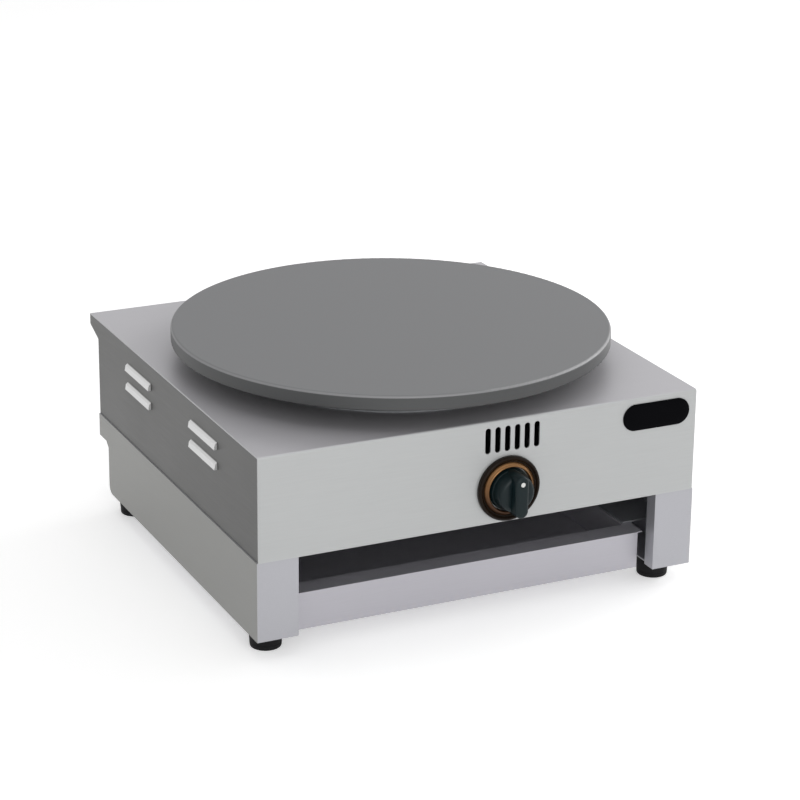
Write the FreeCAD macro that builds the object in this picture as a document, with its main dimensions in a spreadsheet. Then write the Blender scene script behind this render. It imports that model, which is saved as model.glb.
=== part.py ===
import FreeCAD, Part
import math
import os
import re

import Sketcher

# Electric crepe maker: a round cast iron plate over a sheet steel casing on a
# stand with a pull-out drip tray. X runs to the right, Y to the back, Z up,
# and the origin is on the table under the middle of the whole object.
# Sizes are in millimetres. Depths count backwards from the front face.

sizes = {
    "sheet": 1.2,
    "bendRadius": 2.0,
    "holeGap": 0.3,
    "threadGap": 0.1,

    "casingWidth": 419.4,
    "casingHeight": 94.6,
    "casingDepth": 397.4,
    "lipReach": 22.8,
    "lipDrop": 11.0,
    "lipSlope": 9.0,

    "baseHeight": 72.6,
    "baseLedge": 1.2,
    "legWidth": 38.0,
    "legReturn": 14.0,
    "legSetback": 0.6,
    "stepDepth": 24.6,
    "stepLevel": 50.5,
    "stepRise": 5.0,
    "flangeWidth": 34.0,
    "topFlange": 22.0,
    "cornerRadius": 8.0,

    "footHeight": 18.0,
    "footRadius": 15.2,
    "footTaper": 1.5,
    "footSide": 18.9,
    "footFront": 31.0,
    "footRear": 15.6,
    "footRecess": 6.0,
    "footRound": 1.2,
    "footNutHeight": 3.2,

    "plateRadius": 200.0,
    "plateThickness": 13.8,
    "plateGap": 19.4,
    "plateForward": 8.8,
    "plateTopRound": 2.5,
    "plateUnderRound": 1.5,

    "studRadius": 4.0,
    "studSeat": 5.0,
    "studEndGap": 0.5,
    "bossRadius": 7.0,
    "spacerRadius": 6.5,
    "nutAcross": 13.0,
    "nutHeight": 6.5,

    "elementOuter": 125.0,
    "elementPitch": 30.0,
    "elementRadius": 3.25,
    "elementGap": 20.0,
    "elementLeg": 40.0,
    "elementBend": 9.0,
    "pinRadius": 2.0,
    "pinLength": 9.0,

    "clampMargin": 7.0,
    "clampThickness": 2.0,
    "insulationGap": 1.0,
    "insulationThickness": 15.0,
    "panRadius": 136.5,
    "panSheet": 1.0,
    "panDepth": 12.0,
    "panFlange": 13.0,
    "railWidth": 30.0,
    "railHeight": 15.0,
    "railSheet": 1.5,

    "knobSide": 23.4,
    "knobLevel": 31.2,
    "knobGap": 1.5,
    "knobLength": 27.0,
    "skirtRadius": 20.5,
    "skirtLength": 6.0,
    "skirtTaper": 1.0,
    "hubRadius": 18.2,
    "hubLength": 18.0,
    "hubTaper": 1.5,
    "gripWidth": 13.0,
    "gripSpan": 39.0,
    "gripCap": 6.0,
    "gripRound": 2.5,
    "bezelRadius": 29.6,
    "bezelLength": 5.0,
    "bezelGap": 0.7,
    "bezelDish": 2.0,
    "bezelBevel": 1.2,
    "bezelRim": 3.0,
    "bezelLip": 0.5,
    "shaftRadius": 3.0,
    "shaftGap": 0.06,
    "shaftFlat": 0.5,
    "shaftEndGap": 1.0,
    "knobBoreGap": 0.05,
    "bushRadius": 5.0,
    "bushLength": 2.4,
    "grubRadius": 2.0,
    "grubInset": 1.5,

    "thermostatWidth": 44.0,
    "thermostatHeight": 34.0,
    "thermostatLength": 32.0,
    "thermostatScrews": 28.0,
    "thermostatScrew": 5.0,
    "thermostatThread": 6.0,
    "tabWidth": 6.3,
    "tabThickness": 0.8,
    "tabLength": 6.0,
    "screwRadius": 1.9,
    "screwHead": 3.6,
    "screwHeadLength": 2.4,
    "flatHead": 1.1,
    "screwReach": 4.0,

    "bulbFront": 25.0,
    "bulbRear": 31.0,
    "capillaryRadius": 1.0,
    "capillaryDrop": 8.0,

    "limiterInset": 115.0,
    "limiterRear": 67.5,
    "limiterWidth": 30.0,
    "limiterHeight": 30.0,
    "limiterCollar": 5.0,
    "limiterNutHeight": 4.5,
    "limiterNutAcross": 15.0,
    "collarLength": 7.0,
    "buttonRadius": 2.4,
    "buttonGap": 0.1,
    "buttonReach": 4.0,
    "buttonHead": 3.3,
    "buttonRoom": 14.0,
    "buttonFlange": 1.7,
    "buttonRise": 4.0,

    "slotShift": 3.6,
    "slotPitch": 9.45,
    "slotDrop": 18.0,
    "slotHeight": 23.5,
    "slotWidth": 5.4,
    "slotCount": 6,

    "badgeInset": 40.5,
    "badgeDrop": 17.8,
    "badgeWidth": 66.7,
    "badgeHeight": 24.5,
    "badgeThickness": 1.6,

    "louvreLength": 62.0,
    "louvreHeight": 7.0,
    "louvreBulge": 3.2,
    "louvreWall": 0.9,
    "louvreFront": 90.0,
    "louvreSpacing": 162.6,
    "louvreDrop": 20.8,
    "louvreRise": 18.4,

    "ventCount": 8,
    "ventPitch": 14.0,
    "ventWidth": 5.0,
    "ventHeight": 40.0,
    "ventLevel": 40.5,
    "glandInset": 90.0,
    "glandLevel": 20.5,
    "glandRadius": 8.0,
    "glandBore": 4.5,
    "glandHex": 22.0,
    "glandReach": 20.0,
    "glandHexLength": 6.0,
    "glandNose": 9.5,
    "glandNoseTaper": 4.0,
    "glandNutLength": 5.0,
    "rearFlange": 14.0,

    "traySideGap": 6.4,
    "trayRecess": 18.0,
    "trayDrop": 3.4,
    "trayFrontHeight": 34.0,
    "trayFold": 21.0,
    "trayRearGap": 15.0,
    "traySheet": 1.0,
    "trayInset": 3.3,
    "trayFloorRise": 3.0,
    "trayFlange": 8.5,
    "runnerGap": 0.4,
    "runnerWebGap": 0.8,
    "runnerTab": 14.0,
    "runnerLead": 2.0,
    "runnerSheet": 1.2,

    "blockInset": 92.0,
    "blockRear": 52.5,
    "blockWidth": 52.0,
    "blockLength": 20.0,
    "blockHeight": 17.0,
    "wellRadius": 2.5,
    "wellDepth": 6.0,
    "earthInset": 35.0,
    "earthRear": 57.5,
    "earthRadius": 2.5,
    "earthHeight": 16.0,
    "earthNut": 4.0,
    "earthAcross": 8.0,
    "wireRadius": 1.5,
    "wireBend": 12.0,
    "tabTurn": 12.5,
    "blockTurn": 27.0,
    "earthTurn": 13.0,
    "limiterTurn": 20.0,
    "returnTurn": 26.0,
}

# Places worked out from the sizes

front = "((knobGap + knobLength) - (casingDepth + lipReach)) / 2"
half = "casingWidth / 2"
inner = "(casingWidth / 2 - sheet)"
baseHalf = "(casingWidth / 2 + baseLedge)"
legFront = f"({front} + legSetback)"
ground = "footHeight"
seam = "(footHeight + baseHeight)"
deck = "(footHeight + baseHeight + casingHeight)"
underDeck = "(footHeight + baseHeight + casingHeight - sheet)"
rearEdge = f"({front} + casingDepth)"
lipEnd = f"({front} + casingDepth + lipReach)"
plateY = f"({front} + casingDepth / 2 - plateForward)"
plateUnder = f"({deck} + plateGap)"
clampTop = f"({plateUnder} - 2 * elementRadius)"
clampUnder = f"({clampTop} - clampThickness)"
panFloor = f"({deck} - panDepth)"
railTop = f"({panFloor} - panSheet)"
trayTop = "(footHeight - trayDrop + trayFrontHeight)"
trayBottom = "(footHeight - trayDrop)"
trayFront = f"({front} + trayRecess)"
knobZ = f"({seam} + knobLevel)"
floorTop = f"({seam} + sheet)"
slopeLow = f"({deck} - lipDrop - lipSlope)"
stepY = f"({rearEdge} - stepDepth)"
slopeY = f"({rearEdge} - 0.75 * stepDepth)"
stepZ = "(footHeight + stepLevel)"
trayRear = f"({stepY} - trayRearGap)"
trayHalf = f"({baseHalf} - legWidth - traySideGap)"
trayFlangeTip = f"({trayHalf} - trayInset + trayFlange)"
footDepths = [f"({front} + footFront)", f"({stepY} - footRear)"]
glandX = "(glandInset - casingWidth / 2)"
glandZ = f"({seam} + glandLevel)"
badgeX = "(casingWidth / 2 - badgeInset)"
blockX = "(blockInset - casingWidth / 2)"
studReach = "((elementOuter - elementPitch / 2) / sqrt(2))"
bulbReach = "(elementOuter - 1.5 * elementPitch)"
bezelInner = "(skirtRadius + bezelGap)"
capillaryLow = f"({railTop} - railHeight - capillaryDrop)"
caseEnd = f"({front} + sheet + thermostatLength)"
tabEnd = f"({caseEnd} + tabLength)"
tabZ = f"({knobZ} - thermostatHeight / 4)"
limiterPlace = ("(casingWidth / 2 - limiterInset)", f"({rearEdge} - limiterRear)")
earthPlace = ("(earthInset - casingWidth / 2)", f"({rearEdge} - earthRear)")
blockY = f"({rearEdge} - blockRear)"
wireZ = f"({floorTop} + blockHeight / 4)"
pinZ = f"({plateUnder} - elementRadius - elementBend - elementLeg - pinLength)"
thermostatHoles = [f"(knobSide + {sign} * thermostatScrews / 2)" for sign in (-1, 1)]
tabSides = [f"(knobSide + {sign} * thermostatWidth / 4)" for sign in (-1, 1)]
wells = [f"({blockX} + {step} * blockWidth / 5)" for step in (-1, 0, 1)]
over = "2"
sides = {"left": -1, "right": 1}
corners = [(-1, -1), (1, -1), (-1, 1), (1, 1)]


# Sheet of sizes and the functions that bind to it

def makeSheet():
    """Write each size into a cell whose alias is its name."""
    cells = doc.addObject("Spreadsheet::Sheet", "Sizes")
    for row, (name, value) in enumerate(sizes.items(), start=1):
        cells.set(f"A{row}", name)
        cells.set(f"B{row}", str(value))
        cells.setAlias(f"B{row}", name)
    return cells


def formula(text):
    """Point every size name of a formula at the sheet."""
    def owned(word):
        name = word.group(0)
        return "Sizes." + name if name in sizes else name

    return re.sub(r"[A-Za-z]\w*", owned, text)


def number(text):
    """Return what a formula comes to."""
    value = table.evalExpression(formula(text))
    return float(getattr(value, "Value", value))


def bind(item, slot, text):
    """Tie one value of an object to a formula."""
    item.setExpression(slot, formula(text))


def move(item, x="0", y="0", z="0"):
    """Tie the place of an object to three formulas."""
    for axis, text in (("x", x), ("y", y), ("z", z)):
        if text != "0":
            bind(item, f"Placement.Base.{axis}", text)


# Bodies, sketches and features

def newBody(label, x="0", y="0", z="0"):
    """Start the body of one piece."""
    body = doc.addObject("PartDesign::Body", label)
    body.Label = label
    move(body, x, y, z)
    pieces.append(body)
    return body


def sketchOn(body, plane, offset="0"):
    """Attach a sketch to one of the body's own planes."""
    sketch = body.newObject("Sketcher::SketchObject", body.Name + "Sketch")
    support = [item for item in body.Origin.OriginFeatures if item.Role == plane + "_Plane"]
    sketch.AttachmentSupport = [(support[0], "")]
    sketch.MapMode = "FlatFace"
    if offset != "0":
        bind(sketch, "AttachmentOffset.Base.z", offset)
    return sketch


def size(sketch, kind, text, *where):
    """Add a dimension that follows a formula."""
    index = sketch.addConstraint(Sketcher.Constraint(kind, *where, number(text)))
    bind(sketch, f"Constraints[{index}]", text)


def hold(sketch, item, point, place):
    """Fix a point of the sketch by its distances from the origin."""
    for kind, text, axis in (("DistanceX", place[0], -2), ("DistanceY", place[1], -1)):
        if text == "0":
            sketch.addConstraint(Sketcher.Constraint("PointOnObject", item, point, axis))
        else:
            size(sketch, kind, text, -1, 1, item, point)


def outline(sketch, places):
    """Close a polygon through the places."""
    points = [FreeCAD.Vector(number(a), number(b), 0) for a, b in places]
    first = sketch.GeometryCount
    ring = points[1:] + points[:1]
    sketch.addGeometry([Part.LineSegment(a, b) for a, b in zip(points, ring)], False)
    for index, place in enumerate(places):
        following = first + (index + 1) % len(places)
        sketch.addConstraint(Sketcher.Constraint("Coincident", first + index, 2, following, 1))
        hold(sketch, first + index, 1, place)


def rectangle(sketch, left, right, low, high):
    """Draw an upright rectangle between four formulas."""
    outline(sketch, [(left, low), (right, low), (right, high), (left, high)])


def circle(sketch, across, up, radius):
    """Draw a circle."""
    centre = FreeCAD.Vector(number(across), number(up), 0)
    index = sketch.addGeometry(Part.Circle(centre, FreeCAD.Vector(0, 0, 1), number(radius)), False)
    size(sketch, "Radius", radius, index)
    hold(sketch, index, 3, (across, up))


def roundSlot(sketch, start, end, radius):
    """Draw a slot with round ends, its end centres at start and end."""
    ends = [FreeCAD.Vector(number(a), number(b), 0) for a, b in (start, end)]
    heading = math.atan2(ends[1].y - ends[0].y, ends[1].x - ends[0].x)
    side = FreeCAD.Vector(-math.sin(heading), math.cos(heading), 0) * number(radius)
    turn = heading + math.pi / 2
    up = FreeCAD.Vector(0, 0, 1)
    first = sketch.addGeometry([
        Part.ArcOfCircle(Part.Circle(ends[0], up, side.Length), turn, turn + math.pi),
        Part.LineSegment(ends[0] - side, ends[1] - side),
        Part.ArcOfCircle(Part.Circle(ends[1], up, side.Length), turn - math.pi, turn),
        Part.LineSegment(ends[1] + side, ends[0] + side),
    ], False)[0]
    for one, mark, two, other in ((0, 2, 1, 1), (1, 2, 2, 1), (2, 2, 3, 1), (3, 2, 0, 1)):
        sketch.addConstraint(Sketcher.Constraint("Tangent", first + one, mark, first + two, other))
    sketch.addConstraint(Sketcher.Constraint("Equal", first, first + 2))
    size(sketch, "Radius", radius, first)
    hold(sketch, first, 3, start)
    hold(sketch, first + 2, 3, end)


def slab(body, plane, low, high, draw, cut=False):
    """Add or cut what draw puts in a sketch, between two places along the plane's axis."""
    backwards = plane == "XZ"
    start = high if cut != backwards else low
    sketch = sketchOn(body, plane, f"-({start})" if backwards else start)
    draw(sketch)
    feature = body.newObject("PartDesign::Pocket" if cut else "PartDesign::Pad", body.Name + "Slab")
    feature.Profile = sketch
    bind(feature, "Length", f"({high}) - ({low})")
    sketch.Visibility = False
    return feature


def block(body, x, y, z, cut=False):
    """Add or cut a box between pairs of formulas."""
    return slab(body, "XY", z[0], z[1], lambda sketch: rectangle(sketch, x[0], x[1], y[0], y[1]), cut)


def turned(body, plane, places, cut=False):
    """Turn a profile of radius and height about the upright axis of the sketch."""
    sketch = sketchOn(body, plane)
    outline(sketch, places)
    feature = body.newObject("PartDesign::Groove" if cut else "PartDesign::Revolution", body.Name + "Turn")
    feature.Profile = sketch
    feature.ReferenceAxis = (sketch, ["V_Axis"])
    feature.Angle = 360
    return feature


def rounded(body, radius, chosen):
    """Round the edges that the test picks."""
    doc.recompute()
    base = body.Tip
    names = [f"Edge{n}" for n, edge in enumerate(base.Shape.Edges, start=1) if chosen(edge)]
    feature = body.newObject("PartDesign::Fillet", body.Name + "Round")
    feature.Base = (base, names)
    bind(feature, "Radius", radius)
    return feature


def ordered(sign, low, high):
    """Return a pair of formulas, mirrored and swapped for the left side."""
    if sign > 0:
        return low, high
    return f"(-{high})", f"(-{low})"


def near(a, b):
    """Say whether two lengths agree."""
    return abs(a - b) < 0.01


def alongEdge(edge, axis):
    """Say whether a straight edge runs along an axis."""
    if edge.Curve.TypeId != "Part::GeomLine":
        return False
    return abs(edge.Curve.Direction.dot(axis)) > 0.999


def ringAt(edge, height, radius, up="z"):
    """Say whether an edge is a ring of this height and radius about the body's axis."""
    if edge.Curve.TypeId != "Part::GeomCircle":
        return False
    return near(getattr(edge.Curve.Center, up), height) and near(edge.Curve.Radius, radius)


# Plain solids and groups of them

headings = {
    "z": FreeCAD.Rotation(),
    "y": FreeCAD.Rotation(FreeCAD.Vector(1, 0, 0), -90),
    "x": FreeCAD.Rotation(FreeCAD.Vector(0, 1, 0), 90),
}


def rod(name, x, y, z, radius, length, axis="z"):
    """Make a cylinder that starts at a place and runs along an axis."""
    item = doc.addObject("Part::Cylinder", name)
    item.Placement = FreeCAD.Placement(FreeCAD.Vector(), headings[axis])
    bind(item, "Radius", radius)
    bind(item, "Height", length)
    move(item, x, y, z)
    return item


def hexagon(name, x, y, z, across, length, axis="z"):
    """Make a hexagonal prism of a width across flats."""
    item = doc.addObject("Part::Prism", name)
    item.Polygon = 6
    item.Placement = FreeCAD.Placement(FreeCAD.Vector(), headings[axis])
    bind(item, "Circumradius", f"({across}) / sqrt(3)")
    bind(item, "Height", length)
    move(item, x, y, z)
    return item


def group(label, items):
    """Collect separate solids in one piece."""
    item = doc.addObject("Part::Compound", label)
    item.Links = items
    return item


def fuse(name, items):
    """Join solids into one."""
    item = doc.addObject("Part::MultiFuse", name)
    item.Shapes = items
    return item


def cut(name, base, tool):
    """Take one solid away from another."""
    item = doc.addObject("Part::Cut", name)
    item.Base = base
    item.Tool = tool
    return item


def piece(label, item):
    """Name a finished object as a piece of the assembly."""
    item.Label = label
    pieces.append(item)
    return item


def screws(label, places, heading, shank, headLength="screwHeadLength"):
    """Make screws whose heads sit on a face and whose shanks run along a heading."""
    axis = heading[1]
    forward = heading[0] == "+"
    made = []
    for index, (x, y, z) in enumerate(places, start=1):
        shankPlace = {"x": x, "y": y, "z": z}
        headPlace = dict(shankPlace)
        if forward:
            headPlace[axis] = f"({headPlace[axis]}) - ({headLength})"
        else:
            shankPlace[axis] = f"({shankPlace[axis]}) - ({shank})"
        name = f"{label}{index}"
        head = rod(name + "Head", *headPlace.values(), "screwHead", headLength, axis)
        body = rod(name + "Shank", *shankPlace.values(), "screwRadius", shank, axis)
        made.append(fuse(name, [head, body]))
    return piece(label, group(label, made))


# Route of a tube or wire: straight runs joined by arcs

def filletedPath(points, radius):
    """Join points with straight runs and tangent arcs, each arc limited by its runs."""
    edges = []
    start = points[0]
    for index in range(1, len(points) - 1):
        corner = points[index]
        before = (points[index - 1] - corner).normalize()
        after = (points[index + 1] - corner).normalize()
        bend = math.pi - before.getAngle(after)
        shorter = min((points[index - 1] - corner).Length, (points[index + 1] - corner).Length)
        arc = min(radius, 0.45 * shorter / math.tan(bend / 2))
        back = arc * math.tan(bend / 2)
        middle = (before + after).normalize()
        centre = corner + middle * (arc / math.cos(bend / 2))
        arcStart = corner + before * back
        arcEnd = corner + after * back
        edges.append(Part.LineSegment(start, arcStart).toShape())
        edges.append(Part.Arc(arcStart, centre - middle * arc, arcEnd).toShape())
        start = arcEnd
    edges.append(Part.LineSegment(start, points[-1]).toShape())
    return Part.Wire(edges)


def tubeAlong(label, places, bend, radius):
    """Sweep a round section along a route given by formulas."""
    wire = filletedPath([spot(*place) for place in places], number(bend))
    first = wire.Edges[0]
    start = first.valueAt(first.FirstParameter)
    heading = first.tangentAt(first.FirstParameter)
    section = Part.Wire([Part.Circle(start, heading, number(radius)).toShape()])
    item = doc.addObject("Part::Feature", label)
    item.Shape = wire.makePipeShell([section], True, False)
    return piece(label, item)


def spot(x, y, z):
    """Return a point from three formulas."""
    return FreeCAD.Vector(number(x), number(y), number(z))


# Plate and heater

def studPlaces(about=plateY):
    """Return the places of the four studs around a middle."""
    return [(f"({a} * {studReach})", f"({about} + {b} * {studReach})") for a, b in corners]


def ringEnds(about=plateY):
    """Return where the heater's two ends leave their rings, and where they then point down."""
    ends = []
    for radius in ("elementOuter", "(elementOuter - 3 * elementPitch)"):
        share = f"sqrt(1 - (elementGap / {radius})^2)"
        end = ("elementGap", f"({about} - {radius} * {share})")
        leg = (f"(elementGap - elementBend * {share})",
               f"({about} - {radius} * {share} - elementBend * elementGap / {radius})")
        ends.append((end, leg))
    return ends


def bulbPlaces(about=plateY):
    """Return the two places where capillaries pass down in front of their bulbs."""
    return [(f"({sign} * {bulbReach})", f"({about} - bulbFront - capillaryDrop)") for sign in (1, -1)]


def passages(sketch, studHole, about=plateY):
    """Draw the holes that studs, heater ends and capillaries pass through."""
    tube = "(elementRadius + holeGap)"
    for x, y in studPlaces(about):
        circle(sketch, x, y, studHole)
    for _, (x, y) in ringEnds(about):
        circle(sketch, x, y, tube)
    for x, y in bulbPlaces(about):
        circle(sketch, x, y, tube)


def crepePlate():
    """Cast iron plate with four tapped bosses under it."""
    body = newBody("crepe_plate", y=plateY, z=plateUnder)
    turned(body, "XZ", [("0", "0"), ("plateRadius", "0"), ("plateRadius", "plateThickness"),
                        ("0", "plateThickness")])
    bossEnd = "(-2 * elementRadius)"

    def circles(radius):
        return lambda sketch: [circle(sketch, x, y, radius) for x, y in studPlaces("0")]

    slab(body, "XY", bossEnd, "0", circles("bossRadius"))
    slab(body, "XY", f"{bossEnd} - {over}", "studSeat", circles("(studRadius + threadGap)"), True)
    doc.recompute()
    thick = number("plateThickness")
    wide = number("plateRadius")
    rounded(body, "plateTopRound", lambda edge: ringAt(edge, thick, wide))
    rounded(body, "plateUnderRound", lambda edge: ringAt(edge, 0, wide))


def studs():
    """Studs from the plate down through the rails, with spacers and nuts."""
    low = f"({railTop} - railSheet - nutHeight - studSeat)"
    high = f"({plateUnder} + studSeat - studEndGap)"
    rods = []
    outers = []
    bores = []
    nuts = []
    nutBores = []
    nutLow = f"({railTop} - railSheet - nutHeight)"
    for index, (x, y) in enumerate(studPlaces(), start=1):
        rods.append(rod(f"stud{index}", x, y, low, "studRadius", f"{high} - {low}"))
        outers.append(rod(f"spacer{index}", x, y, panFloor, "spacerRadius", f"{clampUnder} - {panFloor}"))
        bores.append(rod(f"spacerBore{index}", x, y, f"{panFloor} - {over}", "studRadius + threadGap",
                         f"{clampUnder} - {panFloor} + 2 * {over}"))
        nuts.append(hexagon(f"nut{index}", x, y, nutLow, "nutAcross", "nutHeight"))
        nutBores.append(rod(f"nutBore{index}", x, y, f"{nutLow} - {over}", "studRadius + threadGap",
                            f"nutHeight + 2 * {over}"))
    piece("plate_studs", group("plateStuds", rods))
    piece("stud_spacers", cut("spacerTubes", group("spacerSolids", outers), group("spacerBores", bores)))
    piece("stud_nuts", cut("studNuts", group("nutSolids", nuts), group("nutBores", nutBores)))


def heatingElement():
    """Tubular heater bent into four open rings under the plate, its two ends turned down."""
    pitch = number("elementPitch")
    gap = number("elementGap")
    bend = number("elementBend")
    middle = spot("0", plateY, f"{plateUnder} - elementRadius")
    down = FreeCAD.Vector(0, 0, -1)
    radii = [number("elementOuter") - ring * pitch for ring in range(4)]

    def at(radius, angle):
        return middle + FreeCAD.Vector(radius * math.sin(angle), -radius * math.cos(angle), 0)

    def arc(a, b, c):
        return Part.Arc(a, b, c).toShape()

    def turnedDown(radius):
        """Return a leg's foot and top, the bend's middle and the ring's end."""
        angle = math.asin(gap / radius)
        end = at(radius, angle)
        inward = FreeCAD.Vector(-math.cos(angle), -math.sin(angle), 0)
        centre = end + down * bend
        legTop = centre + inward * bend
        crown = centre + (inward - down).normalize() * bend
        return legTop + down * number("elementLeg"), legTop, crown, end

    links = [math.asin((gap + pitch / 2) / (radii[ring] - pitch / 2)) for ring in range(3)]
    starts = [math.asin(gap / radii[0]), links[1], links[1], math.asin(gap / radii[3])]
    stops = [links[0], links[0], links[2], links[2]]
    foot, legTop, crown, end = turnedDown(radii[0])
    edges = [Part.LineSegment(foot, legTop).toShape(), arc(legTop, crown, end)]
    for ring, radius in enumerate(radii):
        right, left = starts[ring], 2 * math.pi - stops[ring]
        first, last = (right, left) if ring % 2 == 0 else (left, right)
        edges.append(arc(at(radius, first), at(radius, math.pi), at(radius, last)))
        if ring < 3:
            sign = -1 if ring % 2 == 0 else 1
            centre = at(radius - pitch / 2, sign * links[ring])
            outward = FreeCAD.Vector(-sign * math.cos(links[ring]), -math.sin(links[ring]), 0)
            edges.append(arc(at(radius, last), centre + outward * (pitch / 2), at(radius - pitch, last)))
    otherFoot, legTop, crown, end = turnedDown(radii[3])
    edges += [arc(end, crown, legTop), Part.LineSegment(legTop, otherFoot).toShape()]
    section = Part.Wire([Part.Circle(foot, down, number("elementRadius")).toShape()])
    sheath = Part.Wire(edges).makePipeShell([section], True, False)
    pin = (number("pinRadius"), number("pinLength"))
    pins = [Part.makeCylinder(*pin, place, down) for place in (foot, otherFoot)]
    item = doc.addObject("Part::Feature", "heatingElement")
    item.Shape = sheath.multiFuse(pins)
    piece("heating_element", item)


def heaterDiscs():
    """Clamp disc, insulation and pan, with room for what passes through them."""
    stud = "(studRadius + holeGap)"
    clamp = newBody("clamp_disc")
    slab(clamp, "XY", clampUnder, clampTop,
         lambda sketch: circle(sketch, "0", plateY, "elementOuter + clampMargin"))

    def clampHoles(sketch):
        for x, y in studPlaces():
            circle(sketch, x, y, stud)
        for x, y in bulbPlaces():
            circle(sketch, x, y, "(elementRadius + holeGap)")
        for end, leg in ringEnds():
            roundSlot(sketch, leg, end, "(elementRadius + holeGap)")

    slab(clamp, "XY", f"{clampUnder} - {over}", f"{clampTop} + {over}", clampHoles, True)

    wool = newBody("insulation_disc")
    woolTop = f"({panFloor} + insulationThickness)"
    slab(wool, "XY", panFloor, woolTop,
         lambda sketch: circle(sketch, "0", plateY, "panRadius - insulationGap"))
    slab(wool, "XY", f"{panFloor} - {over}", f"{woolTop} + {over}",
         lambda sketch: passages(sketch, "(spacerRadius + holeGap)"), True)

    pan = newBody("heat_shield_pan", y=plateY)
    flangeTop = f"({deck} + panSheet)"
    wall = "(panRadius + panSheet)"
    turned(pan, "XZ", [("0", railTop), (wall, railTop), (wall, deck), ("(panRadius + panFlange)", deck),
                       ("(panRadius + panFlange)", flangeTop), ("panRadius", flangeTop),
                       ("panRadius", panFloor), ("0", panFloor)])
    slab(pan, "XY", f"{railTop} - {over}", f"{panFloor} + {over}",
         lambda sketch: passages(sketch, stud, "0"), True)


def supportRails():
    """Two channels across the casing that carry the plate on its studs."""
    for label, sign in (("front_support_rail", -1), ("rear_support_rail", 1)):
        rail = newBody(label)
        middle = f"({plateY} + {sign} * {studReach})"
        start, end = f"({middle} - railWidth / 2)", f"({middle} + railWidth / 2)"
        low = f"({railTop} - railHeight)"
        web = f"({railTop} - railSheet)"
        slab(rail, "YZ", f"-{inner}", inner, lambda sketch: outline(sketch, [
            (start, low), (f"({start} + railSheet)", low), (f"({start} + railSheet)", web),
            (f"({end} - railSheet)", web), (f"({end} - railSheet)", low), (end, low),
            (end, railTop), (start, railTop)]))
        holes = [place for place, corner in zip(studPlaces(), corners) if corner[1] == sign]
        slab(rail, "XY", f"{web} - {over}", f"{railTop} + {over}",
             lambda sketch: [circle(sketch, x, y, "studRadius + holeGap") for x, y in holes], True)


# Casing

def topCover():
    """Front, top and rear lip, bent from one sheet."""
    body = newBody("top_cover")
    lipLow = f"({deck} - lipDrop)"
    slab(body, "YZ", f"-{half}", half, lambda sketch: outline(sketch, [
        (front, seam), (f"({front} + sheet)", seam), (f"({front} + sheet)", underDeck),
        (f"({lipEnd} - sheet)", underDeck), (f"({lipEnd} - sheet)", f"({lipLow} + sheet / 2)"),
        (rearEdge, f"({slopeLow} + sheet)"), (rearEdge, slopeLow), (lipEnd, lipLow),
        (lipEnd, deck), (front, deck)]))
    acrossX = FreeCAD.Vector(1, 0, 0)
    bends = [(number(y), number(z)) for y, z in ((front, deck), (lipEnd, deck), (lipEnd, lipLow))]

    def atBend(edge):
        middle = edge.CenterOfMass
        return alongEdge(edge, acrossX) and any(near(middle.y, y) and near(middle.z, z) for y, z in bends)

    rounded(body, "bendRadius", atBend)
    slab(body, "XY", f"{underDeck} - {over}", f"{deck} + {over}",
         lambda sketch: circle(sketch, "0", plateY, "(panRadius + panSheet + holeGap)"), True)

    def frontHoles(sketch):
        circle(sketch, "knobSide", knobZ, "bushRadius + holeGap")
        for x in thermostatHoles:
            circle(sketch, x, knobZ, "screwRadius + holeGap")
        reach = "(slotHeight - slotWidth) / 2"
        low, high = f"({deck} - slotDrop - {reach})", f"({deck} - slotDrop + {reach})"
        for step in range(int(sizes["slotCount"])):
            across = f"(knobSide + slotShift + ({step} - (slotCount - 1) / 2) * slotPitch)"
            roundSlot(sketch, (across, low), (across, high), "slotWidth / 2")

    slab(body, "XZ", f"{front} - {over}", f"{front} + sheet + {over}", frontHoles, True)


def rearScrewPlaces(sign):
    """Return the two screw places along one rear edge of the casing."""
    x = f"({sign} * ({inner} - rearFlange / 2))"
    inset = "(3 * sheet + screwHead)"
    return [(x, f"({seam} + {inset})"), (x, f"({slopeLow} - {inset})")]


def floorScrewPlaces(sign):
    """Return the two screw places along one top flange of the stand."""
    x = f"({sign} * ({baseHalf} - sheet - topFlange / 2))"
    return [(x, y) for y in footDepths]


def blockScrewPlaces():
    """Return the two screw places at the ends of the terminal block."""
    return [(f"({blockX} + {sign} * (blockWidth / 2 - screwHead))", blockY) for sign in (-1, 1)]


def sidePanel(side, sign):
    """Side skin with a rear flange and raised louvres."""
    body = newBody(side + "_side_panel")
    slab(body, "YZ", *ordered(sign, inner, half), lambda sketch: outline(sketch, [
        (f"({front} + sheet)", seam), (rearEdge, seam), (rearEdge, f"({slopeLow} + sheet)"),
        (f"({lipEnd} - sheet)", f"({deck} - lipDrop + sheet / 2)"), (f"({lipEnd} - sheet)", underDeck),
        (f"({front} + sheet)", underDeck)]))
    flange = ordered(sign, f"({inner} - rearFlange)", inner)
    block(body, flange, (f"({rearEdge} - 2 * sheet)", f"({rearEdge} - sheet)"),
          (floorTop, f"({slopeLow} - sheet)"))
    holes = rearScrewPlaces(sign)
    slab(body, "XZ", f"{rearEdge} - 2 * sheet - {over}", f"{rearEdge} - sheet",
         lambda sketch: [circle(sketch, x, z, "screwRadius + threadGap") for x, z in holes], True)
    for row in range(2):
        for column in range(2):
            louvre(body, sign, f"({front} + louvreFront + {column} * louvreSpacing)",
                   f"({deck} - louvreDrop - {row} * louvreRise)")


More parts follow.
